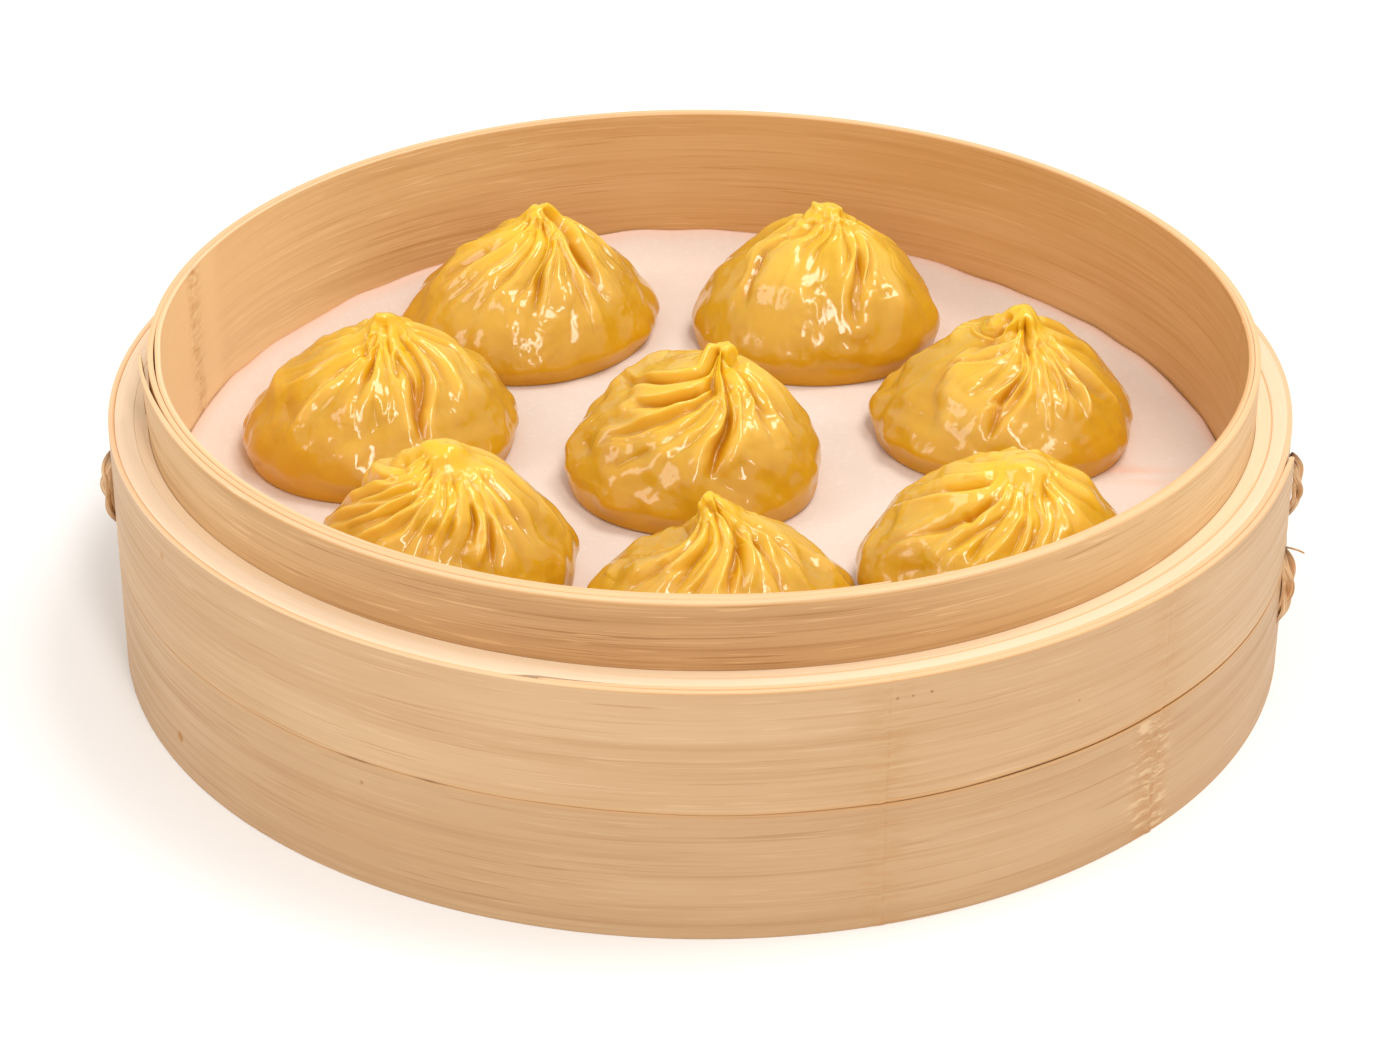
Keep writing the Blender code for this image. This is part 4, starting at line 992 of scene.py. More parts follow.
# One row for each dumpling, in millimetres and degrees. Shift is from the middle of its
# box to the middle of its foot, peak is how far the knob leans, round and steep are the
# powers of the side's curve, widest is the height of the widest place as a share of the
# height, and knob is the radius and height of the gathered tip. Outline rows are lobes,
# share of the radius and azimuth of a lobe. A valley is a path of (way out, azimuth)
# places, how far out it reaches and its depth. Strokes are ridges or furrows between two
# (way out, azimuth) places, with their half width and height.
DUMPLINGS = (
    dict(
        shift=(0.8, 1.12), radius=25.7, height=27.8, peak=(1.2, -0.6),
        round=1.30, steep=1.30, widest=0.13, knob=(3.9, 2.2), fold=1, wrinkle=0.9,
        outline=((1, 0.050, -123), (2, 0.060, 52)),
        valleys=(
            (((0.20, -150), (0.40, -180), (0.65, -197)), 0.80, 0.9),
            (((0.20, -126), (0.45, -149), (0.70, -158)), 0.80, 1.0),
            (((0.25, -108), (0.50, -131), (0.75, -143)), 0.85, 0.8),
            (((0.25, -94), (0.50, -111), (0.70, -121)), 0.80, 0.9),
            (((0.25, -70), (0.50, -92), (0.65, -101)), 0.75, 1.0),
            (((0.30, -65), (0.45, -84), (0.75, -90)), 0.80, 0.8),
            (((0.30, -58), (0.50, -74), (0.70, -80)), 0.75, 0.6),
            (((0.35, -53), (0.55, -57), (0.90, -57)), 0.95, 0.8),
            (((0.20, 0), (0.35, -36), (0.70, -38)), 0.80, 1.6),
            (((0.30, 40), (0.55, 0), (0.70, -5)), 0.80, 0.6),
            (((0.30, 62), (0.70, 45)), 0.80, 0.9),
            (((0.30, 95), (0.70, 86)), 0.85, 0.8),
            (((0.30, 128), (0.70, 122)), 0.80, 0.9),
        ),
        strokes=(
            (((0.25, 48), (0.35, -20), (0.55, -24), (0.65, -24)), 1.3, 0.9),
            (((0.30, -32), (0.45, -34), (0.60, -34)), 0.7, -1),
            (((0.25, -60), (0.40, -80), (0.55, -86), (0.70, -88)), 0.8, -0.8),
            (((0.10, -108), (0.15, -120), (0.30, -120)), 1.2, 0.5),
            (((0.10, -100), (0.15, -90)), 0.9, -1.2),
            (((0.40, 180), (0.60, 168), (0.65, 188)), 2, 0.7),
            (((0.40, -152), (0.60, -160), (0.70, -162)), 1.5, -0.8),
            (((0.60, -140), (0.45, -128)), 1.8, 0.5),
            (((0.65, -72), (0.70, -64)), 2.2, 0.5),
            (((0.80, -48), (0.80, -60)), 2.4, 0.5),
            (((0.80, -102), (0.80, -92)), 2.2, 0.4),
            (((0.80, -10), (0.90, -8)), 2.2, 0.5),
            (((0.05, -154), (0.05, -270), (0.05, -372)), 0.9, 0.5),
            (((0.05, -68), (0.15, -52)), 0.6, -0.7),
        ),
    ),
    dict(
        shift=(0.62, -0.47), radius=25.2, height=28.9, peak=(1.2, 0.3),
        round=1.32, steep=1.50, widest=0.16, knob=(5.0, 3.0), fold=-1, wrinkle=0.6,
        outline=((1, 0.035, -154), (2, 0.030, 82), (3, 0.035, -27)),
        valleys=(
            (((0.20, -130), (0.35, -158), (0.50, -160), (0.75, -139)), 0.85, 0.7),
            (((0.20, -95), (0.30, -120), (0.55, -111)), 0.60, 0.5),
            (((0.20, -68), (0.30, -99), (0.50, -103)), 0.55, 0.5),
            (((0.20, -50), (0.40, -61), (0.60, -81)), 0.65, 0.6),
            (((0.25, -28), (0.40, -50), (0.75, -70)), 0.85, 1.0),
            (((0.25, -8), (0.40, -30), (0.60, -58)), 0.70, 0.8),
            (((0.30, 16), (0.50, 20), (0.60, -7)), 0.70, 0.6),
            (((0.30, 45), (0.70, 33)), 0.80, 0.8),
            (((0.30, 75), (0.70, 66)), 0.80, 0.8),
            (((0.30, 108), (0.70, 104)), 0.80, 0.9),
            (((0.30, 142), (0.70, 138)), 0.80, 0.7),
            (((0.30, 175), (0.70, 176)), 0.75, 0.7),
        ),
        strokes=(
            (((0.40, -46), (0.55, -64), (0.70, -72), (0.85, -72)), 0.9, -1.2),
            (((0.40, -72), (0.60, -76), (0.75, -80)), 1.6, 0.8),
            (((0.50, -160), (0.65, -146), (0.80, -136)), 0.9, -0.7),
            (((0.50, -140), (0.70, -130)), 2.2, 0.6),
            (((0.60, -108), (0.75, -100)), 2.6, 0.5),
            (((0.50, -28), (0.70, -34), (0.85, -42)), 2.6, 0.5),
            (((0.70, -48), (0.75, -48)), 1.6, -0.5),
            (((0.60, -96), (0.65, -92)), 1.6, -0.4),
            (((0.35, 129), (0.22, 180), (0.17, 236), (0.16, 270), (0.15, 315)), 1.3, 0.5),
            (((0.75, -24), (0.85, -26)), 1.4, -0.4),
            (((0.10, 148), (0.08, 188), (0.08, 270), (0.10, 340)), 0.8, 0.6),
            (((0.12, 150), (0.10, 165)), 0.6, 0.5),
            (((0.13, 20), (0.12, 0)), 0.7, 0.6),
            (((0.05, -104), (0.10, -88)), 0.8, -0.3),
            (((0.20, -12), (0.25, -12)), 0.9, 0.8),
            (((0.20, 164), (0.15, 272), (0.15, 332)), 0.7, -0.6),
            (((0.35, 176), (0.45, 184), (0.60, 192)), 0.6, 0.5),
            (((0.25, -152), (0.40, -148)), 0.5, 0.4),
        ),
    ),
    dict(
        shift=(-0.13, -0.51), radius=26.2, height=27.5, peak=(1.5, 0.0),
        round=1.36, steep=1.36, widest=0.17, knob=(3.8, 2.6), fold=1, wrinkle=0.8,
        outline=((2, 0.035, 66), (3, 0.023, -26)),
        valleys=(
            (((0.30, -190), (0.45, -203), (0.70, -205)), 0.75, 0.7),
            (((0.20, -134), (0.40, -151), (0.70, -168)), 0.80, 0.9),
            (((0.20, -110), (0.40, -128), (0.75, -137)), 0.85, 0.9),
            (((0.25, -98), (0.45, -103), (0.70, -102)), 0.75, 0.8),
            (((0.25, -88), (0.40, -83), (0.60, -80)), 0.60, 0.8),
            (((0.25, -77), (0.40, -74), (0.50, -71)), 0.52, 1.3),
            (((0.30, -66), (0.50, -60), (0.70, -67)), 0.75, 0.7),
            (((0.25, -40), (0.50, -48), (0.75, -66), (0.85, -65)), 0.90, 1.5),
            (((0.25, -24), (0.45, -27), (0.70, -38)), 0.80, 0.8),
            (((0.25, 11), (0.50, 14), (0.65, -8)), 0.75, 0.7),
            (((0.30, 38), (0.70, 26)), 0.80, 0.8),
            (((0.30, 72), (0.70, 62)), 0.80, 0.8),
            (((0.30, 108), (0.70, 98)), 0.75, 0.8),
            (((0.30, 142), (0.70, 130)), 0.75, 0.7),
        ),
        caps=((0.08, -60, 4.2),),
        strokes=(
            (((0.20, -128), (0.30, -108)), 0.8, -1.3),
            (((0.20, -102), (0.30, -100), (0.45, -100)), 0.7, -1.2),
            (((0.30, -68), (0.45, -72)), 0.7, -1),
            (((0.50, -60), (0.70, -64), (0.85, -66)), 1, -1.2),
            (((0.45, -68), (0.60, -70), (0.80, -72)), 1.2, 0.7),
            (((0.50, -16), (0.60, -24), (0.70, -36)), 1.5, 0.8),
            (((0.45, -36), (0.60, -42)), 0.8, -0.6),
            (((0.75, 156), (0.75, 172), (0.75, 196)), 1.8, 0.9),
            (((0.50, -130), (0.65, -132), (0.80, -132)), 1.8, 1.5),
            (((0.75, -154), (0.80, -138)), 2.4, -1.1),
            (((0.85, -104), (0.92, -94)), 2.8, 0.45),
            (((0.60, -104), (0.75, -104)), 2, 0.6),
            (((0.60, -92), (0.75, -88)), 1, -0.6),
            (((0.70, 0), (0.85, -10)), 2, -0.7),
            (((0.05, -180), (0.05, -22)), 1, 1.1),
            (((0.10, -84), (0.15, -80)), 0.7, -0.8),
            (((0.10, -134), (0.15, -128)), 0.8, 0.6),
        ),
    ),
    dict(
        shift=(-0.78, -0.84), radius=24.6, height=27.7, peak=(5.4, 0.6),
        round=1.42, steep=1.46, widest=0.16, knob=(3.0, 2.6), fold=-1, wrinkle=0.3,
        outline=((2, 0.050, -69), (3, 0.035, -25)),
        valleys=(
            (((0.15, -101), (0.30, -145), (0.40, -166), (0.75, -220)), 0.80, 1.5),
            (((0.30, -90), (0.37, -107), (0.43, -123), (0.58, -152)), 0.72, 1.3),
            (((0.35, -88), (0.47, -104), (0.63, -128), (0.79, -150)), 0.90, 1.2),
            (((0.40, -84), (0.60, -102), (0.80, -121)), 0.85, 0.4),
            (((0.45, -78), (0.65, -93), (0.80, -108)), 0.90, 0.5),
            (((0.45, -70), (0.60, -74), (0.70, -81), (0.85, -83)), 0.90, 1.6),
            (((0.40, -66), (0.50, -65), (0.65, -71)), 0.70, 0.7),
            (((0.40, -54), (0.50, -59), (0.65, -65)), 0.75, 0.6),
            (((0.35, -35), (0.50, -44), (0.70, -47)), 0.80, 1.1),
            (((0.30, -22), (0.55, -25), (0.85, -31)), 0.85, 0.7),
            (((0.30, 22), (0.70, 8)), 0.80, 0.8),
            (((0.30, 56), (0.70, 40)), 0.80, 0.8),
            (((0.30, 92), (0.70, 74)), 0.80, 0.8),
        ),
        strokes=(
            (((0.50, 122), (0.60, 130), (0.70, 136), (0.85, 147)), 3.6, 1.8),
            (((0.30, 92), (0.30, 118)), 1.6, -0.8),
            (((0.20, -96), (0.35, -84)), 1.1, -1.6),
            (((0.66, 150), (0.52, 169), (0.41, 194), (0.37, 209)), 0.7, -1.0),
            (((0.57, -152), (0.50, -139), (0.43, -123), (0.37, -107)), 0.8, -1.0),
            (((0.83, -149), (0.70, -127), (0.60, -118), (0.45, -97)), 0.7, -0.6),
            (((0.89, -134), (0.83, -129), (0.76, -120)), 1.0, -0.8),
            (((0.64, 172), (0.49, 198), (0.39, 223), (0.32, 240)), 1.6, 0.9),
            (((0.76, -171), (0.66, -161), (0.60, -139), (0.46, -110)), 1.6, 1.0),
            (((0.80, -144), (0.70, -130), (0.50, -106)), 1.2, 0.8),
            (((0.50, -72), (0.60, -76), (0.70, -80), (0.85, -84)), 0.9, -1.4),
            (((0.50, -80), (0.65, -88), (0.80, -92)), 1.3, 0.8),
            (((0.50, -62), (0.65, -66), (0.80, -74)), 1.5, 0.8),
            (((0.35, -44), (0.45, -40), (0.55, -40)), 0.8, -0.8),
            (((0.60, -40), (0.80, -42)), 2.4, 0.6),
            (((0.90, -168), (0.90, -152)), 2, -0.7),
            (((0.05, -4), (0.10, 8), (0.15, 12)), 1.3, 1.7),
            (((0.30, 78), (0.10, -70)), 0.6, -0.7),
        ),
    ),
    dict(
        shift=(1.24, -0.09), radius=25.8, height=26.4, peak=(1.8, 0.0),
        round=1.28, steep=1.32, widest=0.17, knob=(4.0, 3.2), fold=1, wrinkle=0.9,
        outline=((1, 0.035, -130), (2, 0.050, 73), (3, 0.040, -44)),
        valleys=(
            (((0.20, -140), (0.35, -219), (0.50, -205)), 0.55, 1.0),
            (((0.20, -104), (0.25, -130), (0.35, -160)), 0.45, 0.9),
            (((0.30, -105), (0.50, -155), (0.65, -150), (0.85, -134)), 0.80, 0.6),
            (((0.45, -90), (0.55, -105), (0.65, -118)), 0.70, 0.8),
            (((0.45, -85), (0.65, -102), (0.75, -119)), 0.80, 0.9),
            (((0.45, -80), (0.60, -91), (0.75, -100), (0.85, -104)), 0.90, 1.3),
            (((0.45, -78), (0.60, -79), (0.70, -81)), 0.80, 0.7),
            (((0.40, -70), (0.60, -73), (0.80, -73)), 0.85, 0.8),
            (((0.35, -61), (0.55, -60), (0.75, -68)), 0.80, 0.8),
            (((0.35, -54), (0.55, -52), (0.80, -55)), 0.85, 0.8),
            (((0.35, -43), (0.55, -38), (0.85, -29)), 0.90, 0.8),
            (((0.30, -21), (0.55, 6), (0.80, 6)), 0.85, 0.5),
            (((0.30, 30), (0.70, 32)), 0.80, 0.8),
            (((0.30, 68), (0.70, 66)), 0.80, 0.8),
            (((0.30, 104), (0.70, 102)), 0.75, 0.8),
        ),
        strokes=(
            (((0.50, 120), (0.50, 140), (0.45, 176)), 1.6, 0.9),
            (((0.15, -144), (0.30, -142), (0.40, -148)), 1.4, -0.9),
            (((0.60, 172), (0.75, 170), (0.95, 166)), 2.4, 0.6),
            (((0.50, -160), (0.65, -144), (0.85, -134)), 2.4, -0.7),
            (((0.45, -148), (0.65, -136), (0.85, -126)), 1.8, 0.7),
            (((0.50, -94), (0.65, -102), (0.85, -104)), 0.8, -1.3),
            (((0.40, -106), (0.55, -114), (0.65, -120)), 0.7, -0.6),
            (((0.40, -88), (0.55, -100), (0.65, -108)), 0.8, 0.6),
            (((0.60, -104), (0.75, -110), (0.80, -112)), 1.8, 0.8),
            (((0.40, -68), (0.60, -72), (0.80, -74)), 0.6, 0.7),
            (((0.40, -56), (0.60, -60), (0.75, -66)), 0.6, 0.7),
            (((0.45, -40), (0.65, -46), (0.80, -52)), 0.7, 0.7),
            (((0.35, -40), (0.60, -30), (0.85, -24)), 1.2, 0.8),
            (((0.25, -60), (0.30, -80)), 0.9, -1),
            (((0.75, -152), (0.85, -148)), 2.2, -0.4),
            (((0.25, 108), (0.10, 282), (0.15, 324)), 1.2, 0.5),
            (((0.15, -116), (0.15, -80), (0.20, -68)), 0.7, -0.9),
            (((0.25, 120), (0.15, 232)), 1.2, 0.4),
        ),
    ),
    dict(
        shift=(-0.04, -0.03), radius=22.8, height=29.0, peak=(0.6, 0.4),
        round=1.62, steep=1.34, widest=0.17, knob=(4.4, 2.4), fold=1, wrinkle=0.5, soft=0.8,
        outline=((2, 0.030, 10),),
        valleys=(
            (((0.25, -160), (0.50, -208), (0.65, -204)), 0.75, 0.8),
            (((0.30, -143), (0.40, -162), (0.75, -197)), 0.80, 1.0),
            (((0.30, -130), (0.55, -165), (0.85, -194)), 0.90, 1.0),
            (((0.40, -121), (0.55, -144), (0.85, -177)), 0.90, 1.0),
            (((0.40, -112), (0.60, -131), (0.80, -153)), 0.85, 1.0),
            (((0.45, -104), (0.65, -120), (0.75, -132)), 0.85, 0.9),
            (((0.45, -95), (0.65, -108), (0.80, -112)), 0.85, 0.8),
            (((0.50, -84), (0.65, -96), (0.80, -100)), 0.90, 1.0),
            (((0.45, -72), (0.60, -81), (0.75, -90)), 0.85, 0.9),
            (((0.45, -59), (0.60, -63), (0.75, -76)), 0.90, 0.8),
            (((0.50, -49), (0.70, -56), (0.85, -60)), 0.95, 0.9),
            (((0.50, -41), (0.65, -43), (0.80, -43)), 0.85, 0.8),
            (((0.45, -27), (0.65, -27), (0.80, -31)), 0.90, 0.8),
            (((0.40, 4), (0.60, -2), (0.80, -2)), 0.85, 0.7),
            (((0.30, 46), (0.70, 32)), 0.80, 0.8),
            (((0.30, 84), (0.70, 68)), 0.80, 0.8),
            (((0.30, 122), (0.70, 100)), 0.80, 0.8),
        ),
        caps=((0.10, -90, 3.4), (0.10, 150, 2.5)),
        strokes=(
            (((0.65, 156), (0.55, 152), (0.40, 204)), 1.8, 1.5),
            (((0.70, 160), (0.50, 180), (0.40, 208)), 0.6, -1),
            (((0.40, 148), (0.10, 178)), 1.4, 0.8),
            (((0.30, 176), (0.30, 208)), 1, -0.8),
            (((0.80, 164), (0.50, 196), (0.35, 232)), 0.9, 0.6),
            (((0.80, 172), (0.55, 206), (0.35, 244)), 0.7, -0.7),
            (((0.90, 172), (0.60, 204), (0.40, 244)), 0.9, 0.7),
            (((0.75, -156), (0.60, -136), (0.40, -104)), 0.7, -0.7),
            (((0.75, -140), (0.55, -120), (0.40, -96)), 1, 0.8),
            (((0.50, -60), (0.60, -62), (0.70, -68)), 0.5, -1.3),
            (((0.60, -50), (0.70, -56), (0.80, -60)), 0.6, -0.9),
            (((0.55, -54), (0.70, -60), (0.80, -68)), 0.7, 0.9),
            (((0.40, -68), (0.55, -84), (0.70, -96)), 1, 0.8),
            (((0.65, -50), (0.75, -48), (0.85, -48)), 1.2, 0.8),
            (((0.35, -44), (0.60, -36), (0.80, -32)), 1.4, 0.8),
            (((0.30, -16), (0.45, 0)), 1.8, 0.7),
            (((0.70, -4), (0.90, 4)), 2.4, 0.9),
            (((0.60, -12), (0.75, -16)), 1.4, -0.5),
            (((0.15, -126), (0.15, -62)), 1.4, 0.6),
            (((0.05, -88), (0.15, -4)), 1.2, 0.5),
        ),
    ),
    dict(
        shift=(0.23, 0.0), radius=22.8, height=27.2, peak=(-3.0, 0.2),
        round=1.22, steep=1.30, widest=0.17, knob=(4.6, 3.0), fold=-1, wrinkle=0.5, soft=0.8,
        outline=((2, 0.030, 0),),
        valleys=(
            (((0.20, -148), (0.50, -162), (0.70, -181)), 0.80, 0.8),
            (((0.30, -124), (0.50, -138), (0.75, -151)), 0.85, 0.9),
            (((0.30, -100), (0.45, -115), (0.70, -125)), 0.85, 0.9),
            (((0.30, -80), (0.50, -97), (0.65, -108)), 0.85, 1.0),
            (((0.30, -56), (0.40, -69), (0.50, -80), (0.65, -84)), 0.85, 1.5),
            (((0.35, -60), (0.50, -68), (0.65, -76)), 0.75, 0.7),
            (((0.30, -42), (0.45, -48), (0.65, -62)), 0.60, 1.1),
            (((0.30, -30), (0.50, -40), (0.70, -48)), 0.85, 0.9),
            (((0.30, -14), (0.50, -13), (0.70, -22)), 0.80, 0.8),
            (((0.35, 30), (0.50, 18), (0.70, 10)), 0.85, 0.7),
            (((0.30, 58), (0.70, 46)), 0.80, 0.8),
            (((0.30, 94), (0.70, 82)), 0.80, 0.8),
            (((0.30, 130), (0.70, 116)), 0.80, 0.8),
            (((0.30, 172), (0.70, 150)), 0.75, 0.8),
        ),
        caps=((0.10, 180, 2.6),),
        strokes=(
            (((0.20, 186), (0.32, 194), (0.46, 196)), 4.2, -2.4),
            (((0.20, 160), (0.34, 168), (0.50, 170)), 4.2, -2.6),
            (((0.22, 132), (0.34, 142), (0.50, 144)), 4.2, -2.6),
            (((0.42, 182), (0.60, 184)), 4.0, -1.4),
            (((0.42, 150), (0.56, 156), (0.68, 160)), 4.6, -2.8),
            (((0.42, 118), (0.56, 126), (0.68, 132)), 4.6, -2.8),
            (((0.72, 174), (0.84, 180)), 2.8, 1.0),
            (((0.25, 40), (0.40, 40)), 3.0, -0.5),
            (((0.02, -136), (0.10, -92)), 1.2, 1),
            (((0.25, -48), (0.40, -66), (0.50, -76)), 0.9, -1.5),
            (((0.35, -32), (0.40, -40)), 0.8, -1.3),
            (((0.30, -40), (0.45, -56), (0.60, -68)), 1, 0.8),
            (((0.35, -16), (0.50, -36), (0.60, -40)), 1, 0.7),
            (((0.45, 0), (0.55, -10), (0.65, -22)), 1.4, 0.7),
            (((0.30, -160), (0.45, -164), (0.65, -166)), 2.4, 0.9),
            (((0.25, -92), (0.45, -116), (0.55, -128)), 0.8, -0.6),
            (((0.25, -108), (0.45, -128), (0.55, -138)), 1.1, 0.7),
            (((0.25, -68), (0.45, -96), (0.60, -104)), 1.1, 0.7),
            (((0.30, -84), (0.45, -104), (0.55, -112)), 0.7, -0.6),
            (((0.15, -84), (0.15, -42)), 1.3, -0.6),
            (((0.70, 6), (0.80, -2)), 2.4, 0.8),
            (((0.60, 0), (0.65, -10)), 1.2, -0.5),
            (((0.10, -160), (0.15, -140)), 0.9, 0.7),
            (((0.10, -114), (0.15, -80)), 0.6, -0.7),
        ),
    ),
    dict(
        shift=(-0.3, 0.0), radius=24.2, height=27.4, peak=(3.4, 0.0),
        round=1.74, steep=1.44, widest=0.18, knob=(6.2, 1.2), fold=1, wrinkle=0.35, soft=0.75,
        outline=((2, 0.020, 20),),
        valleys=(
            (((0.20, -180), (0.40, -216), (0.60, -219)), 0.80, 1.0),
            (((0.25, -156), (0.40, -182), (0.75, -213)), 0.85, 0.9),
            (((0.30, -135), (0.50, -167), (0.80, -197)), 0.90, 1.3),
            (((0.40, -113), (0.55, -131), (0.70, -149), (0.85, -163)), 0.95, 1.1),
            (((0.45, -99), (0.60, -116), (0.75, -129), (0.90, -132)), 0.90, 1.0),
            (((0.50, -90), (0.65, -104), (0.80, -116)), 0.80, 0.7),
            (((0.50, -84), (0.65, -90), (0.75, -94)), 0.85, 1.2),
            (((0.45, -74), (0.55, -71), (0.65, -79)), 0.80, 0.8),
            (((0.35, -55), (0.55, -60), (0.65, -67)), 0.80, 0.8),
            (((0.35, -48), (0.55, -50), (0.70, -49)), 0.80, 0.8),
            (((0.30, -29), (0.50, -22), (0.70, -13)), 0.80, 0.7),
            (((0.30, 8), (0.70, 8)), 0.80, 0.7),
            (((0.30, 44), (0.70, 40)), 0.80, 0.8),
            (((0.30, 80), (0.70, 72)), 0.80, 0.8),
            (((0.30, 118), (0.70, 102)), 0.80, 0.8),
        ),
        caps=((0.14, -100, 5.4),),
        strokes=(
            (((0.15, -132), (0.15, -64), (0.25, -44)), 2.4, 1),
            (((0.25, -44), (0.40, -64), (0.55, -68)), 1, -0.9),
            (((0.25, -146), (0.35, -168), (0.50, -180)), 1.6, 0.9),
            (((0.30, -132), (0.40, -154), (0.50, -170)), 0.7, -0.7),
            (((0.60, 138), (0.75, 146), (0.85, 152)), 2, 0.8),
            (((0.40, -132), (0.55, -164), (0.75, -180)), 1.8, 0.8),
            (((0.40, -120), (0.55, -126), (0.55, -132)), 0.8, -1.6),
            (((0.55, -128), (0.65, -138), (0.75, -152)), 1, -0.7),
            (((0.70, -160), (0.75, -140)), 3, 1),
            (((0.80, 178), (0.85, 188)), 1.5, -0.8),
            (((0.90, 174), (0.95, 186)), 2.4, 0.8),
            (((0.90, -148), (0.85, -136)), 2.2, -0.8),
            (((0.50, -114), (0.70, -132), (0.80, -132)), 1.5, 0.9),
            (((0.50, -102), (0.65, -112), (0.75, -114)), 0.7, -1.1),
            (((0.50, -90), (0.60, -96), (0.75, -108)), 1.4, 0.9),
            (((0.55, -78), (0.65, -80), (0.75, -88)), 0.7, -1),
            (((0.40, -52), (0.55, -52), (0.65, -54)), 0.8, 0.8),
            (((0.45, -40), (0.60, -36), (0.70, -34)), 1.6, 0.6),
            (((0.20, -152), (0.25, -136)), 0.7, -0.4),
            (((0.15, -100), (0.20, -70), (0.30, -76)), 1, 0.5),
            (((0.20, -120), (0.30, -96)), 0.6, -0.3),
        ),
    ),
)


def dumpling_base(shape, foot, azimuth, turn):
    """The unpleated dumpling in millimetres. With turn from 0 at the tip to 90 at the
    widest place, the way out is sin(turn)^(2 / round) and the level falls as
    cos(turn)^(2 / steep); past 90 a quarter ellipse tucks under to the foot. The knob adds
    knob height times exp(-(distance / knob radius)^4), and everything leans by the peak
    times the level to the power 1.5."""
    down = np.radians(np.minimum(turn, 90.0))
    under = np.clip(turn - 90.0, 0, None) / 60.0 * math.pi / 2
    outward = np.sin(down) ** (2 / shape["round"])
    widest = shape["widest"]
    height = shape["height"]
    knob_radius, knob_height = shape["knob"]
    level = widest + (1 - knob_height / height - widest) * np.cos(down) ** (2 / shape["steep"])
    level = level - widest * np.sin(under)
    outline = np.ones_like(azimuth)
    for lobes, share, towards in shape["outline"]:
        outline = outline + share * np.cos(lobes * np.radians(azimuth - towards))
    across = shape["radius"] * outline * (outward - FOOT_TUCK * (1 - np.cos(under)))
    lobed = knob_radius * (1 + 0.10 * np.cos(np.radians(3 * azimuth + 7 * height)))
    level = height * level + knob_height * np.exp(-((across / lobed) ** 4))
    lean = (np.clip(level, 0, None) / height) ** LEAN_POWER
    angle = np.radians(azimuth)
    x = foot[0] + shape["peak"][0] * lean + across * np.cos(angle)
    y = foot[1] + shape["peak"][1] * lean + across * np.sin(angle)
    return np.stack([x, y, foot[2] + level], -1), outward, across


def profile_turns(shape):
    """Turns spaced evenly along the side's length, closer together on the knob."""
    turn = np.linspace(0.4, 150.0, 3000)
    points, _, across = dumpling_base(shape, (0, 0, 0), np.zeros_like(turn), turn)
    length = np.concatenate([[0], np.cumsum(np.linalg.norm(np.diff(points, axis=0), axis=1))])
    weight = 1 + 1.3 * np.exp(-((across / 5.0) ** 2))
    measure = np.concatenate([[0], np.cumsum((weight[1:] + weight[:-1]) / 2 * np.diff(length))])
    return np.interp(np.linspace(0, measure[-1], PROFILE_STEPS), measure, turn)


def valley_tracks(valleys, outward):
    """Azimuth of each valley at each way out, joined smoothly between its places."""
    tracks = np.array([
        np.interp(outward, [place[0] for place in path], [place[1] for place in path])
        for path, _, _ in valleys
    ])
    window = np.hanning(17)
    window /= window.sum()
    padded = np.pad(tracks, ((0, 0), (8, 8)), mode="edge")
    return np.array([np.convolve(track, window, mode="valid") for track in padded])


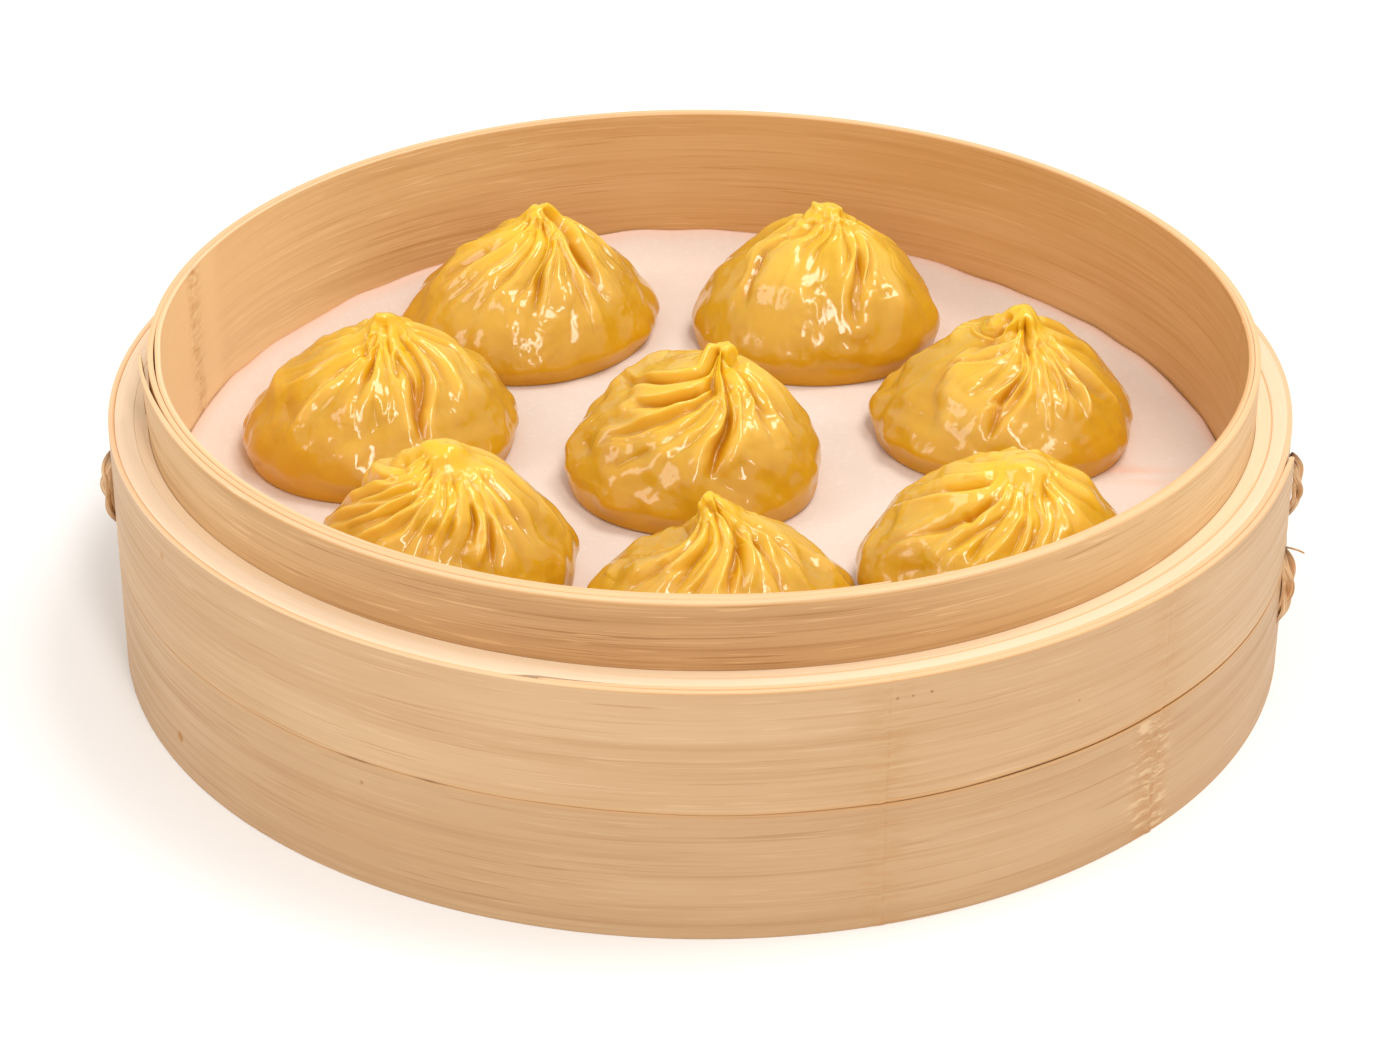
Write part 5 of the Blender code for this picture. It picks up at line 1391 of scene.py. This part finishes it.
def pleats(shape, azimuth, outward, across, seed):
    """Depth of the folds in millimetres. Each valley cuts in by 1 - (u(2 - u))^0.6, where
    u is the distance over half the gap to the next valley, so the dough between stands as
    a round roll. One side of a valley is steep with a raised lip, the other runs out
    gently. Fine wrinkles follow the same swirl."""
    valleys = shape["valleys"]
    way = outward[:, 0]
    tracks = valley_tracks(valleys, way)
    reach = np.array([row[1] for row in valleys])[:, None]
    depth = np.array([row[2] for row in valleys])[:, None]
    start = np.array([row[0][0][0] for row in valleys])[:, None]
    early = np.clip(1.6 - depth, 0.2, 1.0)
    alive = (1 - ramp(way, reach - 0.32, reach + 0.04)) * ramp(way, start * 0.7 * early, start * 1.1 * early)
    mean_across = across.mean(axis=1)
    apart = (tracks[None] - tracks[:, None]) % 360.0
    apart = apart + 60.0 * (1 - alive[None]) + 360.0 * np.eye(len(valleys))[:, :, None]
    ahead = apart.min(axis=1)
    apart_next = ahead
    apart = (tracks[:, None] - tracks[None]) % 360.0
    apart = apart + 60.0 * (1 - alive[None]) + 360.0 * np.eye(len(valleys))[:, :, None]
    behind = apart.min(axis=1)
    to_mm = np.radians(1.0) * mean_across
    ahead = np.clip(0.5 * ahead * to_mm, 0.45, 3.4)[:, :, None]
    behind = np.clip(0.5 * behind * to_mm, 0.45, 3.4)[:, :, None]
    steep, gentle = (ahead, behind) if shape["fold"] > 0 else (behind, ahead)
    away = turn_away(azimuth[None], tracks[:, :, None]) * np.radians(1.0) * across[None]
    on_steep = (away * shape["fold"]) > 0
    reach_mm = np.where(on_steep, steep * 0.75, gentle * 1.15)
    share = np.clip(np.abs(away) / reach_mm, 0, 1)
    cut = 1 - (share * (2 - share)) ** 0.6
    lip = np.where(on_steep, bell(np.abs(away) / reach_mm, 0.75, 0.45), 0.0)
    deep = np.clip(0.42 * (steep + gentle), 0.1, 1.9) * depth[:, :, None] * alive[:, :, None]
    cuts = (deep * cut).sum(axis=0)
    cuts = 2.8 * (1 - np.exp(-cuts / 2.8))
    lips = 0.30 * (deep * lip).sum(axis=0)

    draw = np.random.default_rng(seed)
    rolls = draw.uniform(-0.25, 0.45, len(valleys))[:, None, None]
    middle = tracks + 0.5 * np.minimum(apart_next, 60.0)
    from_middle = turn_away(azimuth[None], middle[:, :, None]) / (0.36 * np.clip(apart_next, 8.0, 50.0)[:, :, None])
    hills = (rolls * np.exp(-(from_middle**2))).sum(axis=0) * ramp(outward, 0.12, 0.3) * (1 - ramp(outward, 0.6, 1.0))

    offsets = tracks - tracks[:, [len(way) // 2]]
    nearness = np.exp(-((turn_away(azimuth[None], tracks[:, :, None]) / 16.0) ** 2)) + 1e-6
    swirl = (nearness * offsets[:, :, None]).sum(axis=0) / nearness.sum(axis=0)
    phase = np.radians(azimuth - swirl)
    fine = np.zeros_like(azimuth)
    for count, strength in ((23, 0.10), (31, 0.09), (41, 0.07), (57, 0.05), (76, 0.035)):
        shift = draw.uniform(0, 2 * math.pi, 3)
        wobble = 1.3 * np.sin(3 * outward + shift[1]) + 0.8 * np.sin(3 * phase + shift[2])
        fine = fine + strength * (np.abs(np.sin(0.5 * count * phase + shift[0] + wobble)) ** 0.7 - 0.6)
    fine = fine * ramp(outward, 0.08, 0.3) * (1 - ramp(outward, 0.55, 0.95))
    return cuts, lips + hills, fine


def stroke_relief(shape, foot, points):
    """Listed ridges, hollows and creases. Each follows a path over the side and adds
    its height times exp(-(distance / half width)^p), with p 2 for a ridge or a wide
    hollow and 1.4 for a crease, faded towards both ends of the path."""
    total, creases = np.zeros(points.shape[:2]), np.zeros(points.shape[:2])
    grid_turn = np.linspace(0.5, 90, 400)
    way = np.sin(np.radians(grid_turn)) ** (2 / shape["round"])
    for path, half_width, height in shape["strokes"]:
        place = np.linspace(0, len(path) - 1, 4 * len(path) - 3)
        turn = np.interp(np.interp(place, range(len(path)), [spot[0] for spot in path]), way, grid_turn)
        azimuth = np.interp(place, range(len(path)), [spot[1] for spot in path])
        spots = dumpling_base(shape, foot, azimuth, turn)[0]
        nearest = np.full(total.shape, 1e6)
        along = np.zeros(total.shape)
        for number, (start, end) in enumerate(zip(spots[:-1], spots[1:])):
            step = end - start
            share = np.clip(((points - start) @ step) / max(step @ step, 1e-6), 0, 1)
            distance = np.linalg.norm(points - start - share[..., None] * step, axis=-1)
            along = np.where(distance < nearest, (number + share) / (len(spots) - 1), along)
            nearest = np.minimum(nearest, distance)
        fade = 0.45 + 0.55 * np.sqrt(np.clip(4 * along * (1 - along), 0, 1))
        crease = height < 0 and half_width <= 2.5
        relief = height * fade * np.exp(-((nearest / half_width) ** (1.4 if crease else 2.0)))
        total = total + relief
        creases = creases - relief * crease
    return total, creases


def calm_share(shape, foot, points):
    """1 away from the smooth caps and 0 on them: 1 - exp(-(distance / cap radius)^4)."""
    calm = np.ones(points.shape[:2])
    grid_turn = np.linspace(0.5, 90, 400)
    way = np.sin(np.radians(grid_turn)) ** (2 / shape["round"])
    for out, azimuth, radius in shape.get("caps", ()):
        turn = np.interp([out], way, grid_turn)
        centre = dumpling_base(shape, foot, np.array([float(azimuth)]), turn)[0][0]
        calm = calm * (1 - np.exp(-((np.linalg.norm(points - centre, axis=-1) / radius) ** 4)))
    return calm


def dumpling_mesh(shape, foot, seed, settings):
    """The pleated dumpling: relief added to the base along its own normals, with a tip
    and a foot centre that close it."""
    turn = profile_turns(shape)
    azimuth = np.arange(KNOB_STEPS) * 360.0 / KNOB_STEPS - 180.0
    turns, azimuths = np.meshgrid(turn, azimuth, indexing="ij")
    points, outward, across = dumpling_base(shape, foot, azimuths, turns)
    wrapped = np.concatenate([points[:, -1:], points, points[:, :1]], axis=1)
    round_way = (wrapped[:, 2:] - wrapped[:, :-2]) / 2
    down_way = np.gradient(points, axis=0)
    normal = np.cross(down_way, round_way)
    normal /= np.linalg.norm(normal, axis=-1)[..., None] + 1e-12
    calm = calm_share(shape, foot, points)
    cuts, lips, fine = (calm * part for part in pleats(shape, azimuths, outward, across, seed))
    under = ramp(turns, 88.0, 118.0)
    body = ramp(outward, 0.25, 0.7)
    lump = settings.lump_height / MM * waves(points, 12.0, 14, seed + 1) * body
    lump = lump + 0.12 * waves(points, 5.5, 16, seed + 2) * ramp(outward, 0.4, 0.8)
    patchy = 0.25 + 0.75 * ramp(waves(points, 9.0, 12, seed + 4), -0.2, 0.5) * ramp(outward, 0.45, 0.75)
    lump = lump + 0.03 * patchy * waves(points, 2.2, 18, seed + 3) * ramp(outward, 0.15, 0.4)
    strokes, creases = stroke_relief(shape, foot, points)
    twist = 3 * azimuths + shape["fold"] * 38.0 * across + 40.0 * shape["height"]
    knob_radius = shape["knob"][0]
    crease = settings.knob_crease / MM * (0.5 + 0.5 * np.cos(np.radians(twist))) ** 4
    crease = calm * crease * ramp(across, 0.2, 1.4) * (1 - ramp(across, 0.9 * knob_radius, 1.7 * knob_radius))
    pleat = shape.get("soft", 1.0) * (lips - cuts) + shape["wrinkle"] * fine
    relief = 0.45 * ramp(outward, 0.08, 0.3) + pleat + lump + strokes - crease
    relief = relief * (1 - under) * ramp(across, 0.15, 1.6)
    points = points + normal * relief[..., None]
    points[..., 2] = np.maximum(points[..., 2], foot[2])
    tip = points[0].mean(axis=0)
    foot_centre = np.array([foot[0], foot[1], foot[2]])
    rows, columns = turns.shape
    flat = np.vstack([points.reshape(-1, 3), tip, foot_centre]) * MM
    loop = np.arange(columns)
    triangles = np.vstack([
        fan(loop[::-1], rows * columns),
        fan((rows - 1) * columns + loop, rows * columns + 1),
    ])
    rise = (points[..., 2] - foot[2]) / shape["height"]
    # Painted shade mark: how deep the valleys and creases cut in.
    fold = np.clip((cuts + crease + 0.8 * creases - 0.25) / 1.3, 0, 1) * (1 - under)
    # Painted light mark: how far lips, wrinkles and strokes stand out.
    painted_ridge_light = np.clip((lips + fine + 0.5 * strokes) * 0.8, 0, 0.35) * ramp(outward, 0.1, 0.3)
    marks = {
        "rise": np.append(rise.ravel(), (rise[0].mean(), 0.0)),
        "fold": np.append(fold.ravel(), (0.0, 0.0)),
        "painted_ridge_light": np.append(painted_ridge_light.ravel(), (0.0, 0.0)),
    }
    return (flat, grid_quads(rows, columns, close_columns=True), triangles), marks


def make_dumplings(settings):
    """Eight dumplings, each with its own valleys, knob and lumps."""
    for number, shape in enumerate(DUMPLINGS, 1):
        low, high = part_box(f"dumpling_{number}")
        middle = (low + high) / 2 / MM
        foot = (middle.x + shape["shift"][0], middle.y + shape["shift"][1], low.z / MM - 0.28)
        shell, marks = dumpling_mesh(shape, foot, 100 + 10 * number, settings)
        dough = dough_material(f"dough_{number}", 0.37 * number, settings)
        build_piece(f"pleated_dumpling_{number}", [shell], dough, f"dumpling_{number}", marks)


# ---------------------------------------------------------------- stage


def add_light(name, place, target, size, power, colour):
    """A soft light, given as width and height in metres, that faces a target."""
    data = bpy.data.lights.new(name, "AREA")
    data.shape = "RECTANGLE"
    data.size, data.size_y = size
    data.energy = power
    data.color = colour
    light = bpy.data.objects.new(name, data)
    light.location = place
    light.rotation_euler = (Vector(target) - Vector(place)).to_track_quat("-Z", "Y").to_euler()
    bpy.context.scene.collection.objects.link(light)


def make_stage(settings):
    """A pale floor, soft lights and the camera."""
    scene = bpy.context.scene
    mesh = bpy.data.meshes.new("studio_floor")
    half = 4.0
    mesh.from_pydata(
        [(-half, -half, 0), (half, -half, 0), (half, half, 0), (-half, half, 0)], [], [(0, 1, 2, 3)]
    )
    mesh.materials.append(floor_material(settings))
    floor = bpy.data.objects.new("studio_floor", mesh)
    scene.collection.objects.link(floor)
    world = bpy.data.worlds.new("studio")
    world.use_nodes = True
    world.node_tree.nodes["Background"].inputs["Color"].default_value = (1.0, 0.98, 0.96, 1.0)
    world.node_tree.nodes["Background"].inputs["Strength"].default_value = settings.fill
    scene.world = world
    target = (0.0, 0.0, 0.03)
    add_light("key", (0.44, 0.13, 1.24), target, (0.5, 0.5), settings.key, (1.0, 0.96, 0.90))
    add_light("front", (0.18, -0.74, 0.98), target, (0.16, 0.85), settings.front, (1.0, 0.98, 0.95))
    add_light("side", (-0.85, -0.30, 0.75), target, (0.45, 0.45), settings.side, (1.0, 0.97, 0.93))
    scene.view_settings.view_transform = "Standard"
    scene.view_settings.look = "None"
    scene.view_settings.exposure = 0.0
    scene.view_settings.gamma = 1.0
    data = bpy.data.cameras.new("camera")
    data.sensor_width = 36.0
    data.lens = 89.62
    data.clip_start = 0.01
    data.dof.use_dof = False
    camera = bpy.data.objects.new("camera", data)
    turn = Matrix.Rotation(math.radians(0.04), 4, "Z") @ Matrix.Rotation(math.radians(60.72), 4, "X")
    turn = turn @ Matrix.Rotation(math.radians(0.384), 4, "Z")
    camera.matrix_world = Matrix.Translation((0.0, -0.581845, 0.343706)) @ turn
    scene.collection.objects.link(camera)
    scene.camera = camera


# ---------------------------------------------------------------- add-on


class BasketSettings(bpy.types.PropertyGroup):
    """Sizes, colours and lights that a user would change."""

    seam_gap: bpy.props.FloatProperty(
        name="Seam gap", description="How far the seam between the skins opens on the right", default=0.0002,
        min=0.0, precision=5, unit="LENGTH",
    )
    paper_thickness: bpy.props.FloatProperty(
        name="Paper thickness", description="Thickness of the liner", default=0.00022, min=0.0001, precision=5,
        unit="LENGTH",
    )
    liner_gap: bpy.props.FloatProperty(
        name="Liner gap", description="Gap between the liner and the wall", default=0.00015, min=0.0001,
        precision=5, unit="LENGTH",
    )
    lump_height: bpy.props.FloatProperty(
        name="Lump height", description="Height of the broad lumps of the dough", default=0.00036, min=0.0,
        precision=5, unit="LENGTH",
    )
    knob_crease: bpy.props.FloatProperty(
        name="Knob crease", description="Depth of the creases round a knob", default=0.0004, min=0.0,
        precision=5, unit="LENGTH",
    )

    paper_colour: bpy.props.FloatVectorProperty(
        name="Paper", description="Colour of the liner", subtype="COLOR", default=linear((226, 208, 196)),
        min=0.0, max=1.0,
    )
    dough_top: bpy.props.FloatVectorProperty(
        name="Dough top", description="Dough near the knob", subtype="COLOR", default=linear((241, 194, 26)),
        min=0.0, max=1.0,
    )
    dough_middle: bpy.props.FloatVectorProperty(
        name="Dough middle", description="Dough half way up", subtype="COLOR", default=linear((208, 155, 8)),
        min=0.0, max=1.0,
    )
    dough_low: bpy.props.FloatVectorProperty(
        name="Dough low", description="Dough near the foot", subtype="COLOR", default=linear((207, 147, 14)),
        min=0.0, max=1.0,
    )
    # Painted shade colour for dough deep in a fold.
    dough_fold_shade: bpy.props.FloatVectorProperty(
        name="Dough fold", description="Dough deep in a fold", subtype="COLOR", default=linear((200, 118, 12)),
        min=0.0, max=1.0,
    )
    dough_filling: bpy.props.FloatVectorProperty(
        name="Filling", description="Where the filling shows through", subtype="COLOR",
        default=linear((196, 136, 32)), min=0.0, max=1.0,
    )
    floor_colour: bpy.props.FloatVectorProperty(
        name="Floor", description="Colour of the floor", subtype="COLOR", default=(0.94, 0.94, 0.94),
        min=0.0, max=1.0,
    )
    key: bpy.props.FloatProperty(name="Key", description="Power of the key light", default=6.4, min=0.0, unit="POWER")
    front: bpy.props.FloatProperty(
        name="Front", description="Power of the tall light in front", default=4.6, min=0.0, unit="POWER"
    )
    side: bpy.props.FloatProperty(
        name="Side", description="Power of the light on the left", default=2.0, min=0.0, unit="POWER"
    )
    fill: bpy.props.FloatProperty(name="Fill", description="Strength of the surroundings", default=0.7, min=0.0)


def basket_operator(identifier, label, description, make):
    """An operator class that runs one making function."""

    def execute(self, context):
        make(context.scene.dumpling_basket)
        return {"FINISHED"}

    return type(
        "BASKET_OT_" + identifier, (bpy.types.Operator,),
        {"__doc__": description, "bl_idname": "basket." + identifier, "bl_label": label, "execute": execute},
    )


OPERATORS = (
    basket_operator("hoops", "Hoops", "Bends the two thick hoops of the wall", make_hoops),
    basket_operator("skins", "Skins", "Wraps the two lapped skins round the hoops", make_skins),
    basket_operator("coil", "Coiled strip", "Coils the thin strip that makes the rim", make_coil),
    basket_operator("floor", "Slats and bars", "Lays the floor of the basket", make_floor),
    basket_operator("stitches", "Stitches", "Laces the laps with cane", make_stitches),
    basket_operator("liner", "Liner", "Lays the paper liner", make_liner),
    basket_operator("dumplings", "Dumplings", "Pleats the eight dumplings", make_dumplings),
    basket_operator("stage", "Stage", "Sets the floor, the lights and the camera", make_stage),
)


class BASKET_PT_panel(bpy.types.Panel):
    """Lists the pieces in the sidebar."""

    bl_idname = "BASKET_PT_panel"
    bl_label = "Dumpling basket"
    bl_space_type = "VIEW_3D"
    bl_region_type = "UI"
    bl_category = "Basket"

    def draw(self, context):
        settings = context.scene.dumpling_basket
        for name in BasketSettings.__annotations__:
            self.layout.prop(settings, name)
        for operator in OPERATORS:
            self.layout.operator(operator.bl_idname)


CLASSES = (BasketSettings, *OPERATORS, BASKET_PT_panel)


def register():
    for cls in CLASSES:
        bpy.utils.register_class(cls)
    bpy.types.Scene.dumpling_basket = bpy.props.PointerProperty(type=BasketSettings)


def unregister():
    del bpy.types.Scene.dumpling_basket
    for cls in reversed(CLASSES):
        bpy.utils.unregister_class(cls)


def main():
    register()
    for operator in OPERATORS:
        name = operator.bl_idname.split(".")[1]
        if getattr(bpy.ops.basket, name)() != {"FINISHED"}:
            raise RuntimeError(f"{name} did not finish")


if __name__ == "__main__":
    main()
